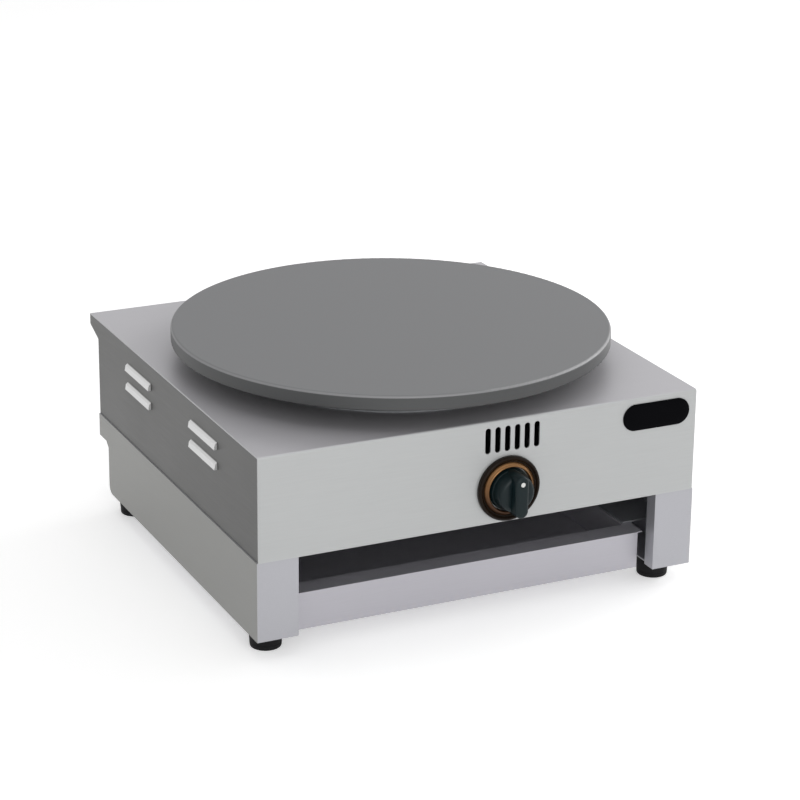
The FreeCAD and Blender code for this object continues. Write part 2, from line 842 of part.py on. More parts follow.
def louvre(body, sign, start, level):
    """Hood pressed out of the side skin, open along its lower edge."""
    top, low = f"({level} + louvreHeight / 2)", f"({level} - louvreHeight / 2)"
    ceiling = f"({top} - 1.6 * louvreWall)"
    shoulder = f"({level} + louvreHeight / 5)"
    skin = f"({sign} * {half})"
    back = f"({sign} * ({inner} - holeGap))"

    def out(share, wall):
        return f"({sign} * ({half} + {share} * louvreBulge - {wall}))"

    slab(body, "XZ", start, f"{start} + louvreLength", lambda sketch: outline(sketch, [
        (skin, top), (out(0.75, "0"), shoulder), (out(1, "0"), low), (skin, low)]))
    slab(body, "XZ", f"{start} + louvreWall", f"{start} + louvreLength - louvreWall",
         lambda sketch: outline(sketch, [
             (back, ceiling), (skin, ceiling), (out(0.75, "louvreWall"), f"({shoulder} - 0.6 * louvreWall)"),
             (out(1, "louvreWall"), f"({low} - louvreWall)"), (back, f"({low} - louvreWall)")]), True)


def rearPanel():
    """Rear closing panel with vents, the cable inlet's hole and four screw holes."""
    body = newBody("rear_panel")
    start = f"({rearEdge} - sheet)"
    slab(body, "XZ", start, rearEdge,
         lambda sketch: rectangle(sketch, f"-{inner}", inner, seam, f"({slopeLow} - holeGap)"))

    def holes(sketch):
        circle(sketch, glandX, glandZ, "(glandRadius + holeGap)")
        for x, z in rearScrewPlaces(-1) + rearScrewPlaces(1):
            circle(sketch, x, z, "screwRadius + holeGap")
        reach = "(ventHeight - ventWidth) / 2"
        low, high = f"({seam} + ventLevel - {reach})", f"({seam} + ventLevel + {reach})"
        for step in range(int(sizes["ventCount"])):
            across = f"(({step} - (ventCount - 1) / 2) * ventPitch)"
            roundSlot(sketch, (across, low), (across, high), "ventWidth / 2")

    slab(body, "XZ", f"{start} - {over}", f"{rearEdge} + {over}", holes, True)
    places = [(x, rearEdge, z) for x, z in rearScrewPlaces(-1) + rearScrewPlaces(1)]
    screws("rear_screws", places, "-y", "(2 * sheet + screwReach)")


def casingFloor():
    """Plate that closes the casing from below and carries the electrical parts."""
    body = newBody("casing_floor")
    block(body, (f"-{inner}", inner), (f"({front} + sheet)", f"({rearEdge} - sheet)"), (seam, floorTop))

    def holes(sketch):
        for x, y in floorScrewPlaces(-1) + floorScrewPlaces(1):
            circle(sketch, x, y, "screwRadius + threadGap")
        for x, y in blockScrewPlaces():
            circle(sketch, x, y, "screwRadius + threadGap")
        circle(sketch, *limiterPlace, "limiterCollar + holeGap")
        circle(sketch, *earthPlace, "earthRadius + holeGap")

    slab(body, "XY", f"{seam} - {over}", f"{floorTop} + {over}", holes, True)
    places = floorScrewPlaces(-1) + floorScrewPlaces(1)
    under = [(x, y, f"({seam} - sheet)") for x, y in places]
    screws("base_screws", under, "+z", "(2 * sheet + screwReach)")


# Stand

def footAcross(sign):
    """Return how far across a foot stands."""
    return f"({sign} * (casingWidth / 2 - footSide))"


def baseSide(side, sign):
    """Side of the stand: stepped skin, front leg face with its return, top and bottom flanges."""
    body = newBody(f"base_{side}_side")
    skin = f"({baseHalf} - sheet)"
    slab(body, "YZ", *ordered(sign, skin, baseHalf), lambda sketch: outline(sketch, [
        (legFront, ground), (stepY, ground), (stepY, f"({stepZ} - stepRise)"), (slopeY, stepZ),
        (rearEdge, stepZ), (rearEdge, seam), (legFront, seam)]))
    acrossX = FreeCAD.Vector(1, 0, 0)
    backY, low = number(stepY), number(ground)
    rounded(body, "cornerRadius", lambda edge: alongEdge(edge, acrossX)
            and near(edge.CenterOfMass.y, backY) and near(edge.CenterOfMass.z, low))
    legEdge = f"({baseHalf} - legWidth)"
    behind = f"({legFront} + sheet)"
    block(body, ordered(sign, legEdge, skin), (legFront, behind), (ground, seam))
    block(body, ordered(sign, legEdge, f"({legEdge} + sheet)"),
          (behind, f"({legFront} + legReturn)"), (ground, seam))
    block(body, ordered(sign, f"({skin} - flangeWidth)", skin),
          (behind, f"({stepY} - cornerRadius)"), (ground, f"({ground} + sheet)"))
    block(body, ordered(sign, f"({skin} - topFlange)", skin),
          (behind, f"({rearEdge} - sheet)"), (f"({seam} - sheet)", seam))

    def footHoles(sketch):
        for y in footDepths:
            circle(sketch, footAcross(sign), y, "(screwRadius + holeGap)")

    slab(body, "XY", f"{ground} - {over}", f"{ground} + sheet + {over}", footHoles, True)
    joints = floorScrewPlaces(sign)
    slab(body, "XY", f"{seam} - sheet - {over}", f"{seam} + {over}",
         lambda sketch: [circle(sketch, x, y, "screwRadius + holeGap") for x, y in joints], True)


def baseRear():
    """Rear sheet of the stand, stepped like the sides."""
    body = newBody("base_rear_panel")
    reach = f"({baseHalf} - sheet)"
    slab(body, "YZ", f"-{reach}", reach, lambda sketch: outline(sketch, [
        (f"({stepY} - sheet)", f"({ground} + cornerRadius)"), (stepY, f"({ground} + cornerRadius)"),
        (stepY, f"({stepZ} - stepRise)"), (slopeY, stepZ), (rearEdge, stepZ), (rearEdge, seam),
        (f"({rearEdge} - sheet)", seam), (f"({rearEdge} - sheet)", f"({stepZ} + sheet)"),
        (f"({slopeY} - sheet / 2)", f"({stepZ} + sheet)"),
        (f"({stepY} - sheet)", f"({stepZ} - stepRise + sheet / 2)")]))


def trayRunner(side, sign):
    """Rail with a lip under and a lip over the tray's flange, welded to the stand's side."""
    body = newBody(side + "_tray_runner")
    web = f"({trayFlangeTip} + runnerWebGap)"
    lipEdge = f"({web} - trayFlange)"
    under = f"({trayTop} - traySheet - runnerGap)"
    upper = f"({trayTop} + runnerGap)"
    wall = f"({baseHalf} - sheet)"
    tabTop = f"({upper} + runnerSheet + runnerTab)"
    places = [
        (lipEdge, f"({under} - runnerSheet)"), (f"({web} + runnerSheet)", f"({under} - runnerSheet)"),
        (f"({web} + runnerSheet)", upper), (wall, upper), (wall, tabTop), (f"({wall} - runnerSheet)", tabTop),
        (f"({wall} - runnerSheet)", f"({upper} + runnerSheet)"), (lipEdge, f"({upper} + runnerSheet)"),
        (lipEdge, upper), (web, upper), (web, under), (lipEdge, under)]
    slab(body, "XZ", f"{trayFront} + trayFold + runnerLead", f"{stepY} - 3 * sheet",
         lambda sketch: outline(sketch, [(f"({sign} * {x})", z) for x, z in places]))


def dripTray():
    """Pull-out tray: pan with a tall front folded back along its top, and flanges on its sides."""
    body = newBody("drip_tray")
    wall = f"({trayHalf} - trayInset)"
    wallIn = f"({wall} - traySheet)"
    floor = f"({trayBottom} + trayFloorRise)"
    behind = f"({trayFront} + traySheet)"
    underFold = f"({trayTop} - traySheet)"
    width = (f"-{trayHalf}", trayHalf)
    block(body, width, (trayFront, behind), (trayBottom, trayTop))
    block(body, width, (behind, f"({trayFront} + trayFold)"), (underFold, trayTop))
    block(body, (f"-{wall}", wall), (behind, trayRear), (floor, f"({floor} + traySheet)"))
    for sign in (-1, 1):
        block(body, ordered(sign, wallIn, wall), (behind, trayRear), (floor, trayTop))
        block(body, ordered(sign, wallIn, trayFlangeTip), (behind, trayRear), (underFold, trayTop))
    block(body, (f"-{wall}", wall), (f"({trayRear} - traySheet)", trayRear), (floor, trayTop))


def feet():
    """Four round rubber feet, each recessed for its screw, with nuts inside the stand."""
    places = []
    for row, y in zip(("front", "rear"), footDepths):
        for side, sign in sides.items():
            x = footAcross(sign)
            places.append((x, y))
            foot = newBody(f"foot_{row}_{side}", x=x, y=y)
            bore = "(screwRadius + threadGap)"
            recess = "(screwHead + holeGap)"
            turned(foot, "XZ", [
                (recess, "0"), ("(footRadius - footTaper)", "0"), ("footRadius", "footHeight"),
                (bore, "footHeight"), (bore, "footRecess"), (recess, "footRecess")])
            wide = number("(footRadius - footTaper)")
            rounded(foot, "footRound", lambda edge: ringAt(edge, 0, wide))
    screws("foot_screws", [(x, y, "footRecess") for x, y in places], "+z",
           "(footHeight - footRecess + sheet + footNutHeight)")
    nuts = []
    bores = []
    for index, (x, y) in enumerate(places, start=1):
        nuts.append(hexagon(f"footNut{index}", x, y, f"({ground} + sheet)", "2 * screwHead", "footNutHeight"))
        bores.append(rod(f"footNutBore{index}", x, y, ground, "screwRadius + threadGap",
                         f"sheet + footNutHeight + {over}"))
    piece("foot_nuts", cut("footNuts", group("footNutSolids", nuts), group("footNutBores", bores)))


# Control

def knob():
    """Knob with a skirt, a hub and a bar grip, bored for the shaft and held by a grub screw."""
    body = newBody("control_knob", x="knobSide", y=front, z=knobZ)
    back = "(-knobGap)"
    skirt = "(-knobGap - skirtLength)"
    hub = "(-knobGap - hubLength)"
    nose = "(-knobGap - knobLength)"
    turned(body, "XY", [
        ("0", back), ("skirtRadius", back), ("(skirtRadius - skirtTaper)", skirt), ("hubRadius", skirt),
        ("(hubRadius - hubTaper)", hub), ("0", hub)])
    end = "(gripSpan / 2 - gripWidth / 2)"
    slab(body, "XZ", nose, skirt,
         lambda sketch: roundSlot(sketch, ("0", f"(-{end})"), ("0", end), "gripWidth / 2"))
    level = number(nose)

    def atNose(edge):
        return near(edge.BoundBox.YMin, level) and near(edge.BoundBox.YMax, level)

    rounded(body, "gripRound", atNose)
    slab(body, "XZ", f"{nose} + gripCap", f"{back} + {over}",
         lambda sketch: circle(sketch, "0", "0", "(shaftRadius + knobBoreGap)"), True)
    grubY = "(-knobGap - skirtLength / 2)"
    slab(body, "XY", f"-skirtRadius - {over}", "0",
         lambda sketch: circle(sketch, "0", grubY, "(grubRadius + threadGap)"), True)
    low = f"({knobZ} - skirtRadius + grubInset)"
    length = "(skirtRadius - grubInset - shaftRadius + shaftFlat)"
    piece("knob_grub_screw", rod("grubScrew", "knobSide", f"({front} + {grubY})", low, "grubRadius", length))


def dialBezel():
    """Ring on the front panel around the knob, dished towards its middle."""
    body = newBody("dial_bezel", x="knobSide", y=front, z=knobZ)
    turned(body, "XY", [
        (bezelInner, "0"), ("bezelRadius", "0"), ("bezelRadius", "(-0.6 * bezelLength)"),
        ("(bezelRadius - bezelBevel)", "(-bezelLength)"), ("(bezelRadius - bezelRim)", "(-bezelLength)"),
        (f"({bezelInner} + bezelLip)", "(-bezelDish)"), (bezelInner, "(-bezelDish)")])


def thermostat():
    """Thermostat behind the front panel: case, bush, turning shaft and fixing screws."""
    body = newBody("thermostat_body")
    back = f"({front} + sheet)"
    block(body, ("(knobSide - thermostatWidth / 2)", "(knobSide + thermostatWidth / 2)"), (back, caseEnd),
          (f"({knobZ} - thermostatHeight / 2)", f"({knobZ} + thermostatHeight / 2)"))
    slab(body, "XZ", f"{back} - bushLength", back,
         lambda sketch: circle(sketch, "knobSide", knobZ, "bushRadius"))
    for x in tabSides:
        block(body, (f"({x} - tabWidth / 2)", f"({x} + tabWidth / 2)"), (caseEnd, tabEnd),
              (f"({tabZ} - tabThickness / 2)", f"({tabZ} + tabThickness / 2)"))
    slab(body, "XZ", f"{back} - bushLength - {over}", f"{back} + thermostatLength / 2",
         lambda sketch: circle(sketch, "knobSide", knobZ, "shaftRadius + shaftGap"), True)
    slab(body, "XZ", f"{back} - {over}", f"{back} + thermostatThread",
         lambda sketch: [circle(sketch, x, knobZ, "screwRadius + threadGap") for x in thermostatHoles], True)

    shaft = newBody("thermostat_shaft", x="knobSide", y=front, z=knobZ)
    tip = "(-knobGap - knobLength + gripCap + shaftEndGap)"
    slab(shaft, "XZ", tip, "(sheet + thermostatLength / 2 - shaftEndGap)",
         lambda sketch: circle(sketch, "0", "0", "shaftRadius"))
    block(shaft, (f"(-shaftRadius - {over})", f"(shaftRadius + {over})"), (f"({tip} - {over})", "(-knobGap)"),
          (f"(-shaftRadius - {over})", "(shaftFlat - shaftRadius)"), True)
    places = [(x, front, knobZ) for x in thermostatHoles]
    screws("thermostat_screws", places, "+y", "(sheet + thermostatScrew)", "flatHead")


def bulbs():
    """Sensing bulbs against the plate and the capillaries that join them to their switches."""
    level = f"({plateUnder} - elementRadius)"
    start = f"({plateY} - bulbFront)"
    turn = f"({start} - capillaryDrop)"
    low = capillaryLow
    inlet = f"({knobZ} + thermostatHeight / 4)"
    x, y = limiterPlace
    thermostatRoute = [("knobSide", turn, low), ("knobSide", turn, inlet), ("knobSide", caseEnd, inlet)]
    left = f"(-{bulbReach})"
    limiterRoute = [(left, y, low), (x, y, low), (x, y, f"({floorTop} + limiterHeight)")]
    routes = {"thermostat": (bulbReach, thermostatRoute), "limiter": (left, limiterRoute)}
    for name, (side, route) in routes.items():
        bulb = rod(f"{name}Bulb", side, start, level, "elementRadius", "bulbFront + bulbRear", "y")
        piece(f"{name}_bulb", bulb)
        places = [(side, start, level), (side, turn, level), (side, turn, low)] + route
        tubeAlong(f"{name}_capillary", places, "wireBend", "capillaryRadius")


def limiter():
    """Overheat limiter on the casing floor, its reset button facing down."""
    body = newBody("limit_thermostat")
    x, y = limiterPlace
    wide = "limiterWidth / 2"
    block(body, (f"({x} - {wide})", f"({x} + {wide})"), (f"({y} - {wide})", f"({y} + {wide})"),
          (floorTop, f"({floorTop} + limiterHeight)"))
    slab(body, "XY", f"{floorTop} - collarLength", floorTop,
         lambda sketch: circle(sketch, x, y, "limiterCollar"))
    bore = "(buttonRadius + buttonGap)"
    slab(body, "XY", f"{floorTop} - collarLength - {over}", f"{floorTop} + buttonRoom",
         lambda sketch: circle(sketch, x, y, bore), True)
    slab(body, "XY", floorTop, f"{floorTop} + buttonRoom",
         lambda sketch: circle(sketch, x, y, "buttonHead + holeGap"), True)
    nutLow = f"({seam} - limiterNutHeight)"
    nut = hexagon("limiterNutSolid", x, y, nutLow, "limiterNutAcross", "limiterNutHeight")
    hole = rod("limiterNutBore", x, y, f"({nutLow} - {over})", "limiterCollar + threadGap",
               f"limiterNutHeight + 2 * {over}")
    piece("limiter_nut", cut("limiterNut", nut, hole))
    button = newBody("reset_button", x=x, y=y)
    slab(button, "XY", f"{floorTop} - collarLength - buttonReach", f"{floorTop} + buttonRise",
         lambda sketch: circle(sketch, "0", "0", "buttonRadius"))
    slab(button, "XY", f"{floorTop} + holeGap", f"{floorTop} + holeGap + buttonFlange",
         lambda sketch: circle(sketch, "0", "0", "buttonHead"))


# Supply

def terminals():
    """Terminal block with its clamp screw wells, and the two screws that hold it."""
    body = newBody("terminal_block")
    blockTop = f"({floorTop} + blockHeight)"
    block(body, (f"({blockX} - blockWidth / 2)", f"({blockX} + blockWidth / 2)"),
          (f"({blockY} - blockLength / 2)", f"({blockY} + blockLength / 2)"), (floorTop, blockTop))

    def wellCircles(sketch):
        for x in wells:
            for sign in (-1, 1):
                circle(sketch, x, f"({blockY} + {sign} * blockLength / 4)", "wellRadius")

    slab(body, "XY", f"{blockTop} - wellDepth", f"{blockTop} + {over}", wellCircles, True)
    holes = blockScrewPlaces()
    slab(body, "XY", f"{floorTop} - {over}", f"{blockTop} + {over}",
         lambda sketch: [circle(sketch, x, y, "(screwRadius + threadGap)") for x, y in holes], True)
    screws("block_screws", [(x, y, blockTop) for x, y in holes], "-z", "(blockHeight + sheet + screwReach)")


def earthing():
    """Earth stud through the casing floor, with a nut under the floor and one on it."""
    low = f"({seam} - earthNut)"
    piece("earth_stud", rod("earthStud", *earthPlace, low, "earthRadius", "(earthHeight + sheet + earthNut)"))
    nuts = []
    bores = []
    for index, level in enumerate((low, floorTop), start=1):
        nuts.append(hexagon(f"earthNut{index}", *earthPlace, level, "earthAcross", "earthNut"))
        bores.append(rod(f"earthNutBore{index}", *earthPlace, f"({level} - {over})",
                         "earthRadius + threadGap", f"earthNut + 2 * {over}"))
    piece("earth_nuts", cut("earthNuts", group("earthNutSolids", nuts), group("earthNutBores", bores)))


def cableGland():
    """Cable inlet through the rear panel, with its nut inside."""
    body = newBody("cable_gland", x=glandX, y=rearEdge, z=glandZ)
    inside = f"(-sheet - glandNutLength - {over})"
    turned(body, "XY", [("0", inside), ("glandRadius", inside), ("glandRadius", "0"), ("glandNose", "0"),
                        ("glandNose", "(glandReach - glandNoseTaper)"),
                        ("(glandNose - glandNoseTaper / 2)", "glandReach"), ("0", "glandReach")])
    reach = "(glandHex / sqrt(3))"
    turns = [(1, 0), (0.5, 1), (-0.5, 1), (-1, 0), (-0.5, -1), (0.5, -1)]
    ring = [(f"({a} * {reach})", f"({b} * glandHex / 2)" if b else "0") for a, b in turns]
    slab(body, "XZ", "0", "glandHexLength", lambda sketch: outline(sketch, ring))
    slab(body, "XZ", f"{inside} - {over}", f"glandReach + {over}",
         lambda sketch: circle(sketch, "0", "0", "glandBore"), True)
    start = f"({rearEdge} - sheet - glandNutLength)"
    nut = hexagon("glandNutSolid", glandX, start, glandZ, "glandHex", "glandNutLength", "y")
    hole = rod("glandNutBore", glandX, f"({start} - {over})", glandZ, "glandRadius + threadGap",
               f"glandNutLength + 2 * {over}", "y")
    piece("gland_nut", cut("glandNut", nut, hole))


def leads():
    """Leads inside the casing, each from one terminal face to the next."""
    blockFront, blockBack = f"({blockY} - blockLength / 2)", f"({blockY} + blockLength / 2)"
    live, earth, neutral = wells
    tabIn, tabOut = tabSides
    (_, (outerX, outerY)), (_, (innerX, innerY)) = ringEnds()
    limiterX, limiterY = limiterPlace
    limiterZ = f"({floorTop} + limiterHeight / 2)"
    limiterLeft = f"({limiterX} - limiterWidth / 2)"
    limiterFront = f"({limiterY} - limiterWidth / 2)"
    earthX, earthY = earthPlace
    nutZ = f"({floorTop} + earthNut / 2)"
    tabTurn = f"({tabEnd} + tabTurn)"
    blockTurn = f"({blockFront} - blockTurn)"
    earthTurn = f"({blockBack} + earthTurn)"
    besideLimiter = f"({limiterLeft} - limiterTurn)"
    returnTurn = f"({plateY} + returnTurn)"
    routes = {
        "live_lead": [(live, blockFront, wireZ), (live, tabTurn, wireZ), (tabIn, tabTurn, wireZ),
                      (tabIn, tabTurn, tabZ), (tabIn, tabEnd, tabZ)],
        "element_lead_live": [(tabOut, tabEnd, tabZ), (tabOut, outerY, tabZ), (outerX, outerY, tabZ),
                              (outerX, outerY, pinZ)],
        "neutral_lead": [(neutral, blockFront, wireZ), (neutral, blockTurn, wireZ),
                         (besideLimiter, blockTurn, wireZ), (besideLimiter, limiterY, limiterZ),
                         (limiterLeft, limiterY, limiterZ)],
        "element_lead_neutral": [(limiterX, limiterFront, limiterZ), (limiterX, returnTurn, limiterZ),
                                 (innerX, returnTurn, limiterZ), (innerX, innerY, limiterZ),
                                 (innerX, innerY, pinZ)],
        "earth_lead": [(earth, blockBack, wireZ), (earth, earthTurn, wireZ), (earthX, earthTurn, nutZ),
                       (earthX, f"({earthY} + earthAcross / 2)", nutZ)],
    }
    for label, places in routes.items():
        tubeAlong(label, places, "wireBend", "wireRadius")


def badge():
    """Bare plate with round ends on the front."""
    body = newBody("front_badge")
    reach = "(badgeWidth - badgeHeight) / 2"
    level = f"({deck} - badgeDrop)"
    slab(body, "XZ", f"{front} - badgeThickness", front, lambda sketch: roundSlot(
        sketch, (f"({badgeX} - {reach})", level), (f"({badgeX} + {reach})", level), "badgeHeight / 2"))


# Assembly

def build():
    """Make every piece."""
    crepePlate()
    studs()
    heatingElement()
    heaterDiscs()
    supportRails()
    topCover()
    for side, sign in sides.items():
        sidePanel(side, sign)
        baseSide(side, sign)
        trayRunner(side, sign)
    rearPanel()
    casingFloor()
    baseRear()
    dripTray()
    feet()
    knob()
    dialBezel()
    thermostat()
    bulbs()
    limiter()
    terminals()
    earthing()
    cableGland()
    leads()
    badge()


def check():
    """Stop if an object failed, a piece is empty or invalid, or a cut missed."""
    for item in doc.Objects:
        if "Invalid" in item.State or "Error" in item.State:
            raise RuntimeError(f"{item.Label} failed: {item.State}")
        if item.TypeId in ("PartDesign::Pocket", "PartDesign::Groove"):
            if item.Shape.Volume > item.BaseFeature.Shape.Volume - 0.01:
                raise RuntimeError(f"{item.Label} cuts nothing")
    for item in pieces:
        if item.Shape.isNull() or not item.Shape.isValid():
            raise RuntimeError(f"{item.Label} has no sound shape")


def write():
    """Write each piece to its own file."""
    os.makedirs("parts", exist_ok=True)
    for item in pieces:
        item.Shape.exportStep(f"parts/{item.Label}.step")
        box = item.Shape.BoundBox
        across = f"x {box.XMin:.1f} {box.XMax:.1f}, y {box.YMin:.1f} {box.YMax:.1f}"
        print(f"{item.Label}: {len(item.Shape.Solids)} solids, {across}, z {box.ZMin:.1f} {box.ZMax:.1f}")


doc = FreeCAD.newDocument("CrepeMaker")
pieces = []
table = makeSheet()
doc.recompute()
build()
doc.recompute()
check()
write()
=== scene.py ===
import math

import bmesh
import bpy
import numpy as np
from mathutils import Matrix, Vector


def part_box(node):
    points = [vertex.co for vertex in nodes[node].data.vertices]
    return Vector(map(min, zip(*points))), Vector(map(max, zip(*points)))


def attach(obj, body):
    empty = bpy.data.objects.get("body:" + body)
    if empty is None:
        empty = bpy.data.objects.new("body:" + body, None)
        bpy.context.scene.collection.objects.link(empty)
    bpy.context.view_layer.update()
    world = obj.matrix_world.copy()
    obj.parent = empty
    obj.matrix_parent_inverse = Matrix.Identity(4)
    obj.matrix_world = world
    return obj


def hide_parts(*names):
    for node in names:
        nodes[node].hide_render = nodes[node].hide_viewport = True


# crepe maker: finishes, small turned and moulded pieces, floor, light and camera
# lengths in metres, X right, Y back, Z up, origin on the table

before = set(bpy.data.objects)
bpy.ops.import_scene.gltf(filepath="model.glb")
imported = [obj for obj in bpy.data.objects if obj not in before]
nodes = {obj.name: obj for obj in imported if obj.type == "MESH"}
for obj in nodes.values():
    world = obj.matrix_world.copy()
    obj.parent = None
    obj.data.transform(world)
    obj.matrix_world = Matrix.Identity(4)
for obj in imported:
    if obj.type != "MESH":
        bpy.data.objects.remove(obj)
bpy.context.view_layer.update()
print("frame:", len(nodes), "nodes")


# mesh helpers

build = {"mergeDistance": 1e-6, "smoothAngle": 40, "segments": 96, "cornerSteps": 6, "mostCut": 0.49}


# mesh from arrays of points and faces
# doubles are merged, normals turned outwards, edges shaded smooth up to an angle
def makePiece(name, points, faces, smooth=build["smoothAngle"]):
    mesh = bpy.data.meshes.new(name)
    mesh.from_pydata(np.asarray(points).tolist(), [], faces)
    work = bmesh.new()
    work.from_mesh(mesh)
    bmesh.ops.remove_doubles(work, verts=work.verts, dist=build["mergeDistance"])
    bmesh.ops.recalc_face_normals(work, faces=work.faces)
    work.to_mesh(mesh)
    work.free()
    piece = bpy.data.objects.new(name, mesh)
    bpy.context.scene.collection.objects.link(piece)
    mesh.shade_smooth()
    mesh.set_sharp_from_angle(angle=math.radians(smooth))
    return piece


# quads of a grid closed round its columns: i and i + 1 of one row, then the same two of the next
def gridFaces(rows, columns):
    i = np.arange(rows - 1)[:, None] * columns
    j = np.arange(columns)[None, :]
    k = (j + 1) % columns
    return np.stack([i + j, i + k, i + columns + k, i + columns + j], -1).reshape(-1, 4).tolist()


# each inner corner c of a profile becomes c + (1 - t)^2 a + t^2 b, with a and b cut from its two sides
def roundCorners(points, radii):
    points = np.array(points, float)
    line = [points[:1]]
    t = np.linspace(0, 1, build["cornerSteps"])[:, None]
    for before, corner, after, radius in zip(points, points[1:], points[2:], radii):
        a, b = before - corner, after - corner
        a *= min(build["mostCut"], radius / np.linalg.norm(a))
        b *= min(build["mostCut"], radius / np.linalg.norm(b))
        line.append(corner + (1 - t) ** 2 * a + t ** 2 * b)
    line.append(points[-1:])
    return np.concatenate(line)


# P(u, v) = c + r cos u * e1 + r sin u * e2 + h(v) * axis, with r = r(v) * spread(u, v)
# rows run along v, columns round u
def turnedPoints(profile, centre, axis, spread=1.0, segments=build["segments"]):
    u = np.linspace(0, 2 * np.pi, segments, endpoint=False)
    r = profile[:, :1] * spread
    one, two = r * np.cos(u), r * np.sin(u)
    along = np.broadcast_to(profile[:, 1:2], one.shape)
    order = {"y": (one, along, two), "z": (one, two, along)}[axis]
    return np.stack(order, -1) + np.array(centre)


# turned solid: its profile starts and ends on the axis, or closes on itself
def turned(name, profile, centre, axis="y", spread=1.0, segments=build["segments"],
           smooth=build["smoothAngle"]):
    points = turnedPoints(np.asarray(profile, float), centre, axis, spread, segments)
    return makePiece(name, points.reshape(-1, 3), gridFaces(len(points), segments), smooth)


# bar with round ends: radius * (cos a, sin a), moved out by half the straight length on each side
def barOutline(width, height, count=build["segments"]):
    a = np.linspace(0, 2 * np.pi, count, endpoint=False)
    radius = min(width, height) / 2
    x = radius * np.cos(a) + np.sign(np.cos(a).round(9)) * (width / 2 - radius)
    z = radius * np.sin(a) + np.sign(np.sin(a).round(9)) * (height / 2 - radius)
    return np.stack([x, z], -1)


# bar sections (width, height, depth) joined in order, both ends closed
# P(u, v) = c + (x(u), depth(v), z(u))
def barSolid(name, sections, centre):
    rings = [np.insert(barOutline(w, h), 1, d, axis=1) for w, h, d in sections]
    count = len(rings[0])
    points = np.concatenate(rings) + np.array(centre)
    faces = gridFaces(len(rings), count)
    faces.append(list(range(count)))
    faces.append(list(range(len(points) - count, len(points))))
    return makePiece(name, points, faces)


def middleOf(node):
    low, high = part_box(node)
    return (low + high) / 2


def dress(piece, material, body, slotName, *replaced):
    piece.data.materials.append(material)
    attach(piece, body)
    if replaced:
        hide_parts(*replaced)


# shader groups

def newGroup(name, inputs, outputs):
    group = bpy.data.node_groups.new(name, "ShaderNodeTree")
    for label, kind, value in inputs:
        socket = group.interface.new_socket(label, in_out="INPUT", socket_type=kind)
        socket.default_value = value
    for label in outputs:
        group.interface.new_socket(label, in_out="OUTPUT", socket_type="NodeSocketFloat")
    add = group.nodes.new
    return group, add, group.links.new, add("NodeGroupInput").outputs, add("NodeGroupOutput").inputs


def vectorStep(add, link, operation, first, second):
    step = add("ShaderNodeVectorMath")
    step.operation = operation
    link(first, step.inputs[0])
    link(second, step.inputs[1])
    return step.outputs["Value" if operation == "DOT_PRODUCT" else "Vector"]


noiseDetail = {"lines": 3, "clouds": 4}


# brushed or moulded grain, both outputs 0 to 1
# Lines is noise on Object coordinates times Stretch, Clouds is noise on the plain ones
def grainGroup():
    group, add, link, given, out = newGroup("grain", [
        ("Stretch", "NodeSocketVector", (1, 1, 1)), ("Fine", "NodeSocketFloat", 400.0),
        ("Cloud", "NodeSocketFloat", 9.0)], ["Lines", "Clouds"])
    coords = add("ShaderNodeTexCoord").outputs["Object"]
    stretched = vectorStep(add, link, "MULTIPLY", coords, given["Stretch"])
    for source, scale, detail, result in ((stretched, "Fine", noiseDetail["lines"], "Lines"),
                                          (coords, "Cloud", noiseDetail["clouds"], "Clouds")):
        noise = add("ShaderNodeTexNoise")
        noise.inputs["Detail"].default_value = detail
        link(source, noise.inputs["Vector"])
        link(given[scale], noise.inputs["Scale"])
        link(noise.outputs["Fac"], out[result])
    return group


# lathe marks: noise on the distance from an axis
# the distance is |q - (q . axis) axis| with q = Object coordinates - Centre
def latheGroup():
    group, add, link, given, out = newGroup("latheMarks", [
        ("Centre", "NodeSocketVector", (0, 0, 0)), ("Axis", "NodeSocketVector", (0, 0, 1)),
        ("Fine", "NodeSocketFloat", 900.0)], ["Lines"])
    coords = add("ShaderNodeTexCoord").outputs["Object"]
    offset = vectorStep(add, link, "SUBTRACT", coords, given["Centre"])
    along = vectorStep(add, link, "DOT_PRODUCT", offset, given["Axis"])
    scaled = add("ShaderNodeVectorMath")
    scaled.operation = "SCALE"
    link(given["Axis"], scaled.inputs[0])
    link(along, scaled.inputs["Scale"])
    flat = vectorStep(add, link, "SUBTRACT", offset, scaled.outputs["Vector"])
    distance = add("ShaderNodeVectorMath")
    distance.operation = "LENGTH"
    link(flat, distance.inputs[0])
    noise = add("ShaderNodeTexNoise")
    noise.noise_dimensions = "1D"
    noise.inputs["Detail"].default_value = noiseDetail["lines"]
    link(distance.outputs["Value"], noise.inputs["W"])
    link(given["Fine"], noise.inputs["Scale"])
    link(noise.outputs["Fac"], out["Lines"])
    return group


# Value = Middle + Amount * (Lines - 0.5) + CloudAmount * (Clouds - 0.5)
def spreadGroup():
    group, add, link, given, out = newGroup("spread", [
        ("Middle", "NodeSocketFloat", 0.5), ("Lines", "NodeSocketFloat", 0.5),
        ("Amount", "NodeSocketFloat", 0.1), ("Clouds", "NodeSocketFloat", 0.5),
        ("CloudAmount", "NodeSocketFloat", 0.1)], ["Value"])
    total = given["Middle"]
    for noise, amount in (("Lines", "Amount"), ("Clouds", "CloudAmount")):
        offset = add("ShaderNodeMath")
        offset.operation = "SUBTRACT"
        link(given[noise], offset.inputs[0])
        offset.inputs[1].default_value = 0.5
        scaled = add("ShaderNodeMath")
        scaled.operation = "MULTIPLY_ADD"
        link(offset.outputs[0], scaled.inputs[0])
        link(given[amount], scaled.inputs[1])
        link(total, scaled.inputs[2])
        total = scaled.outputs[0]
    link(total, out["Value"])
    return group


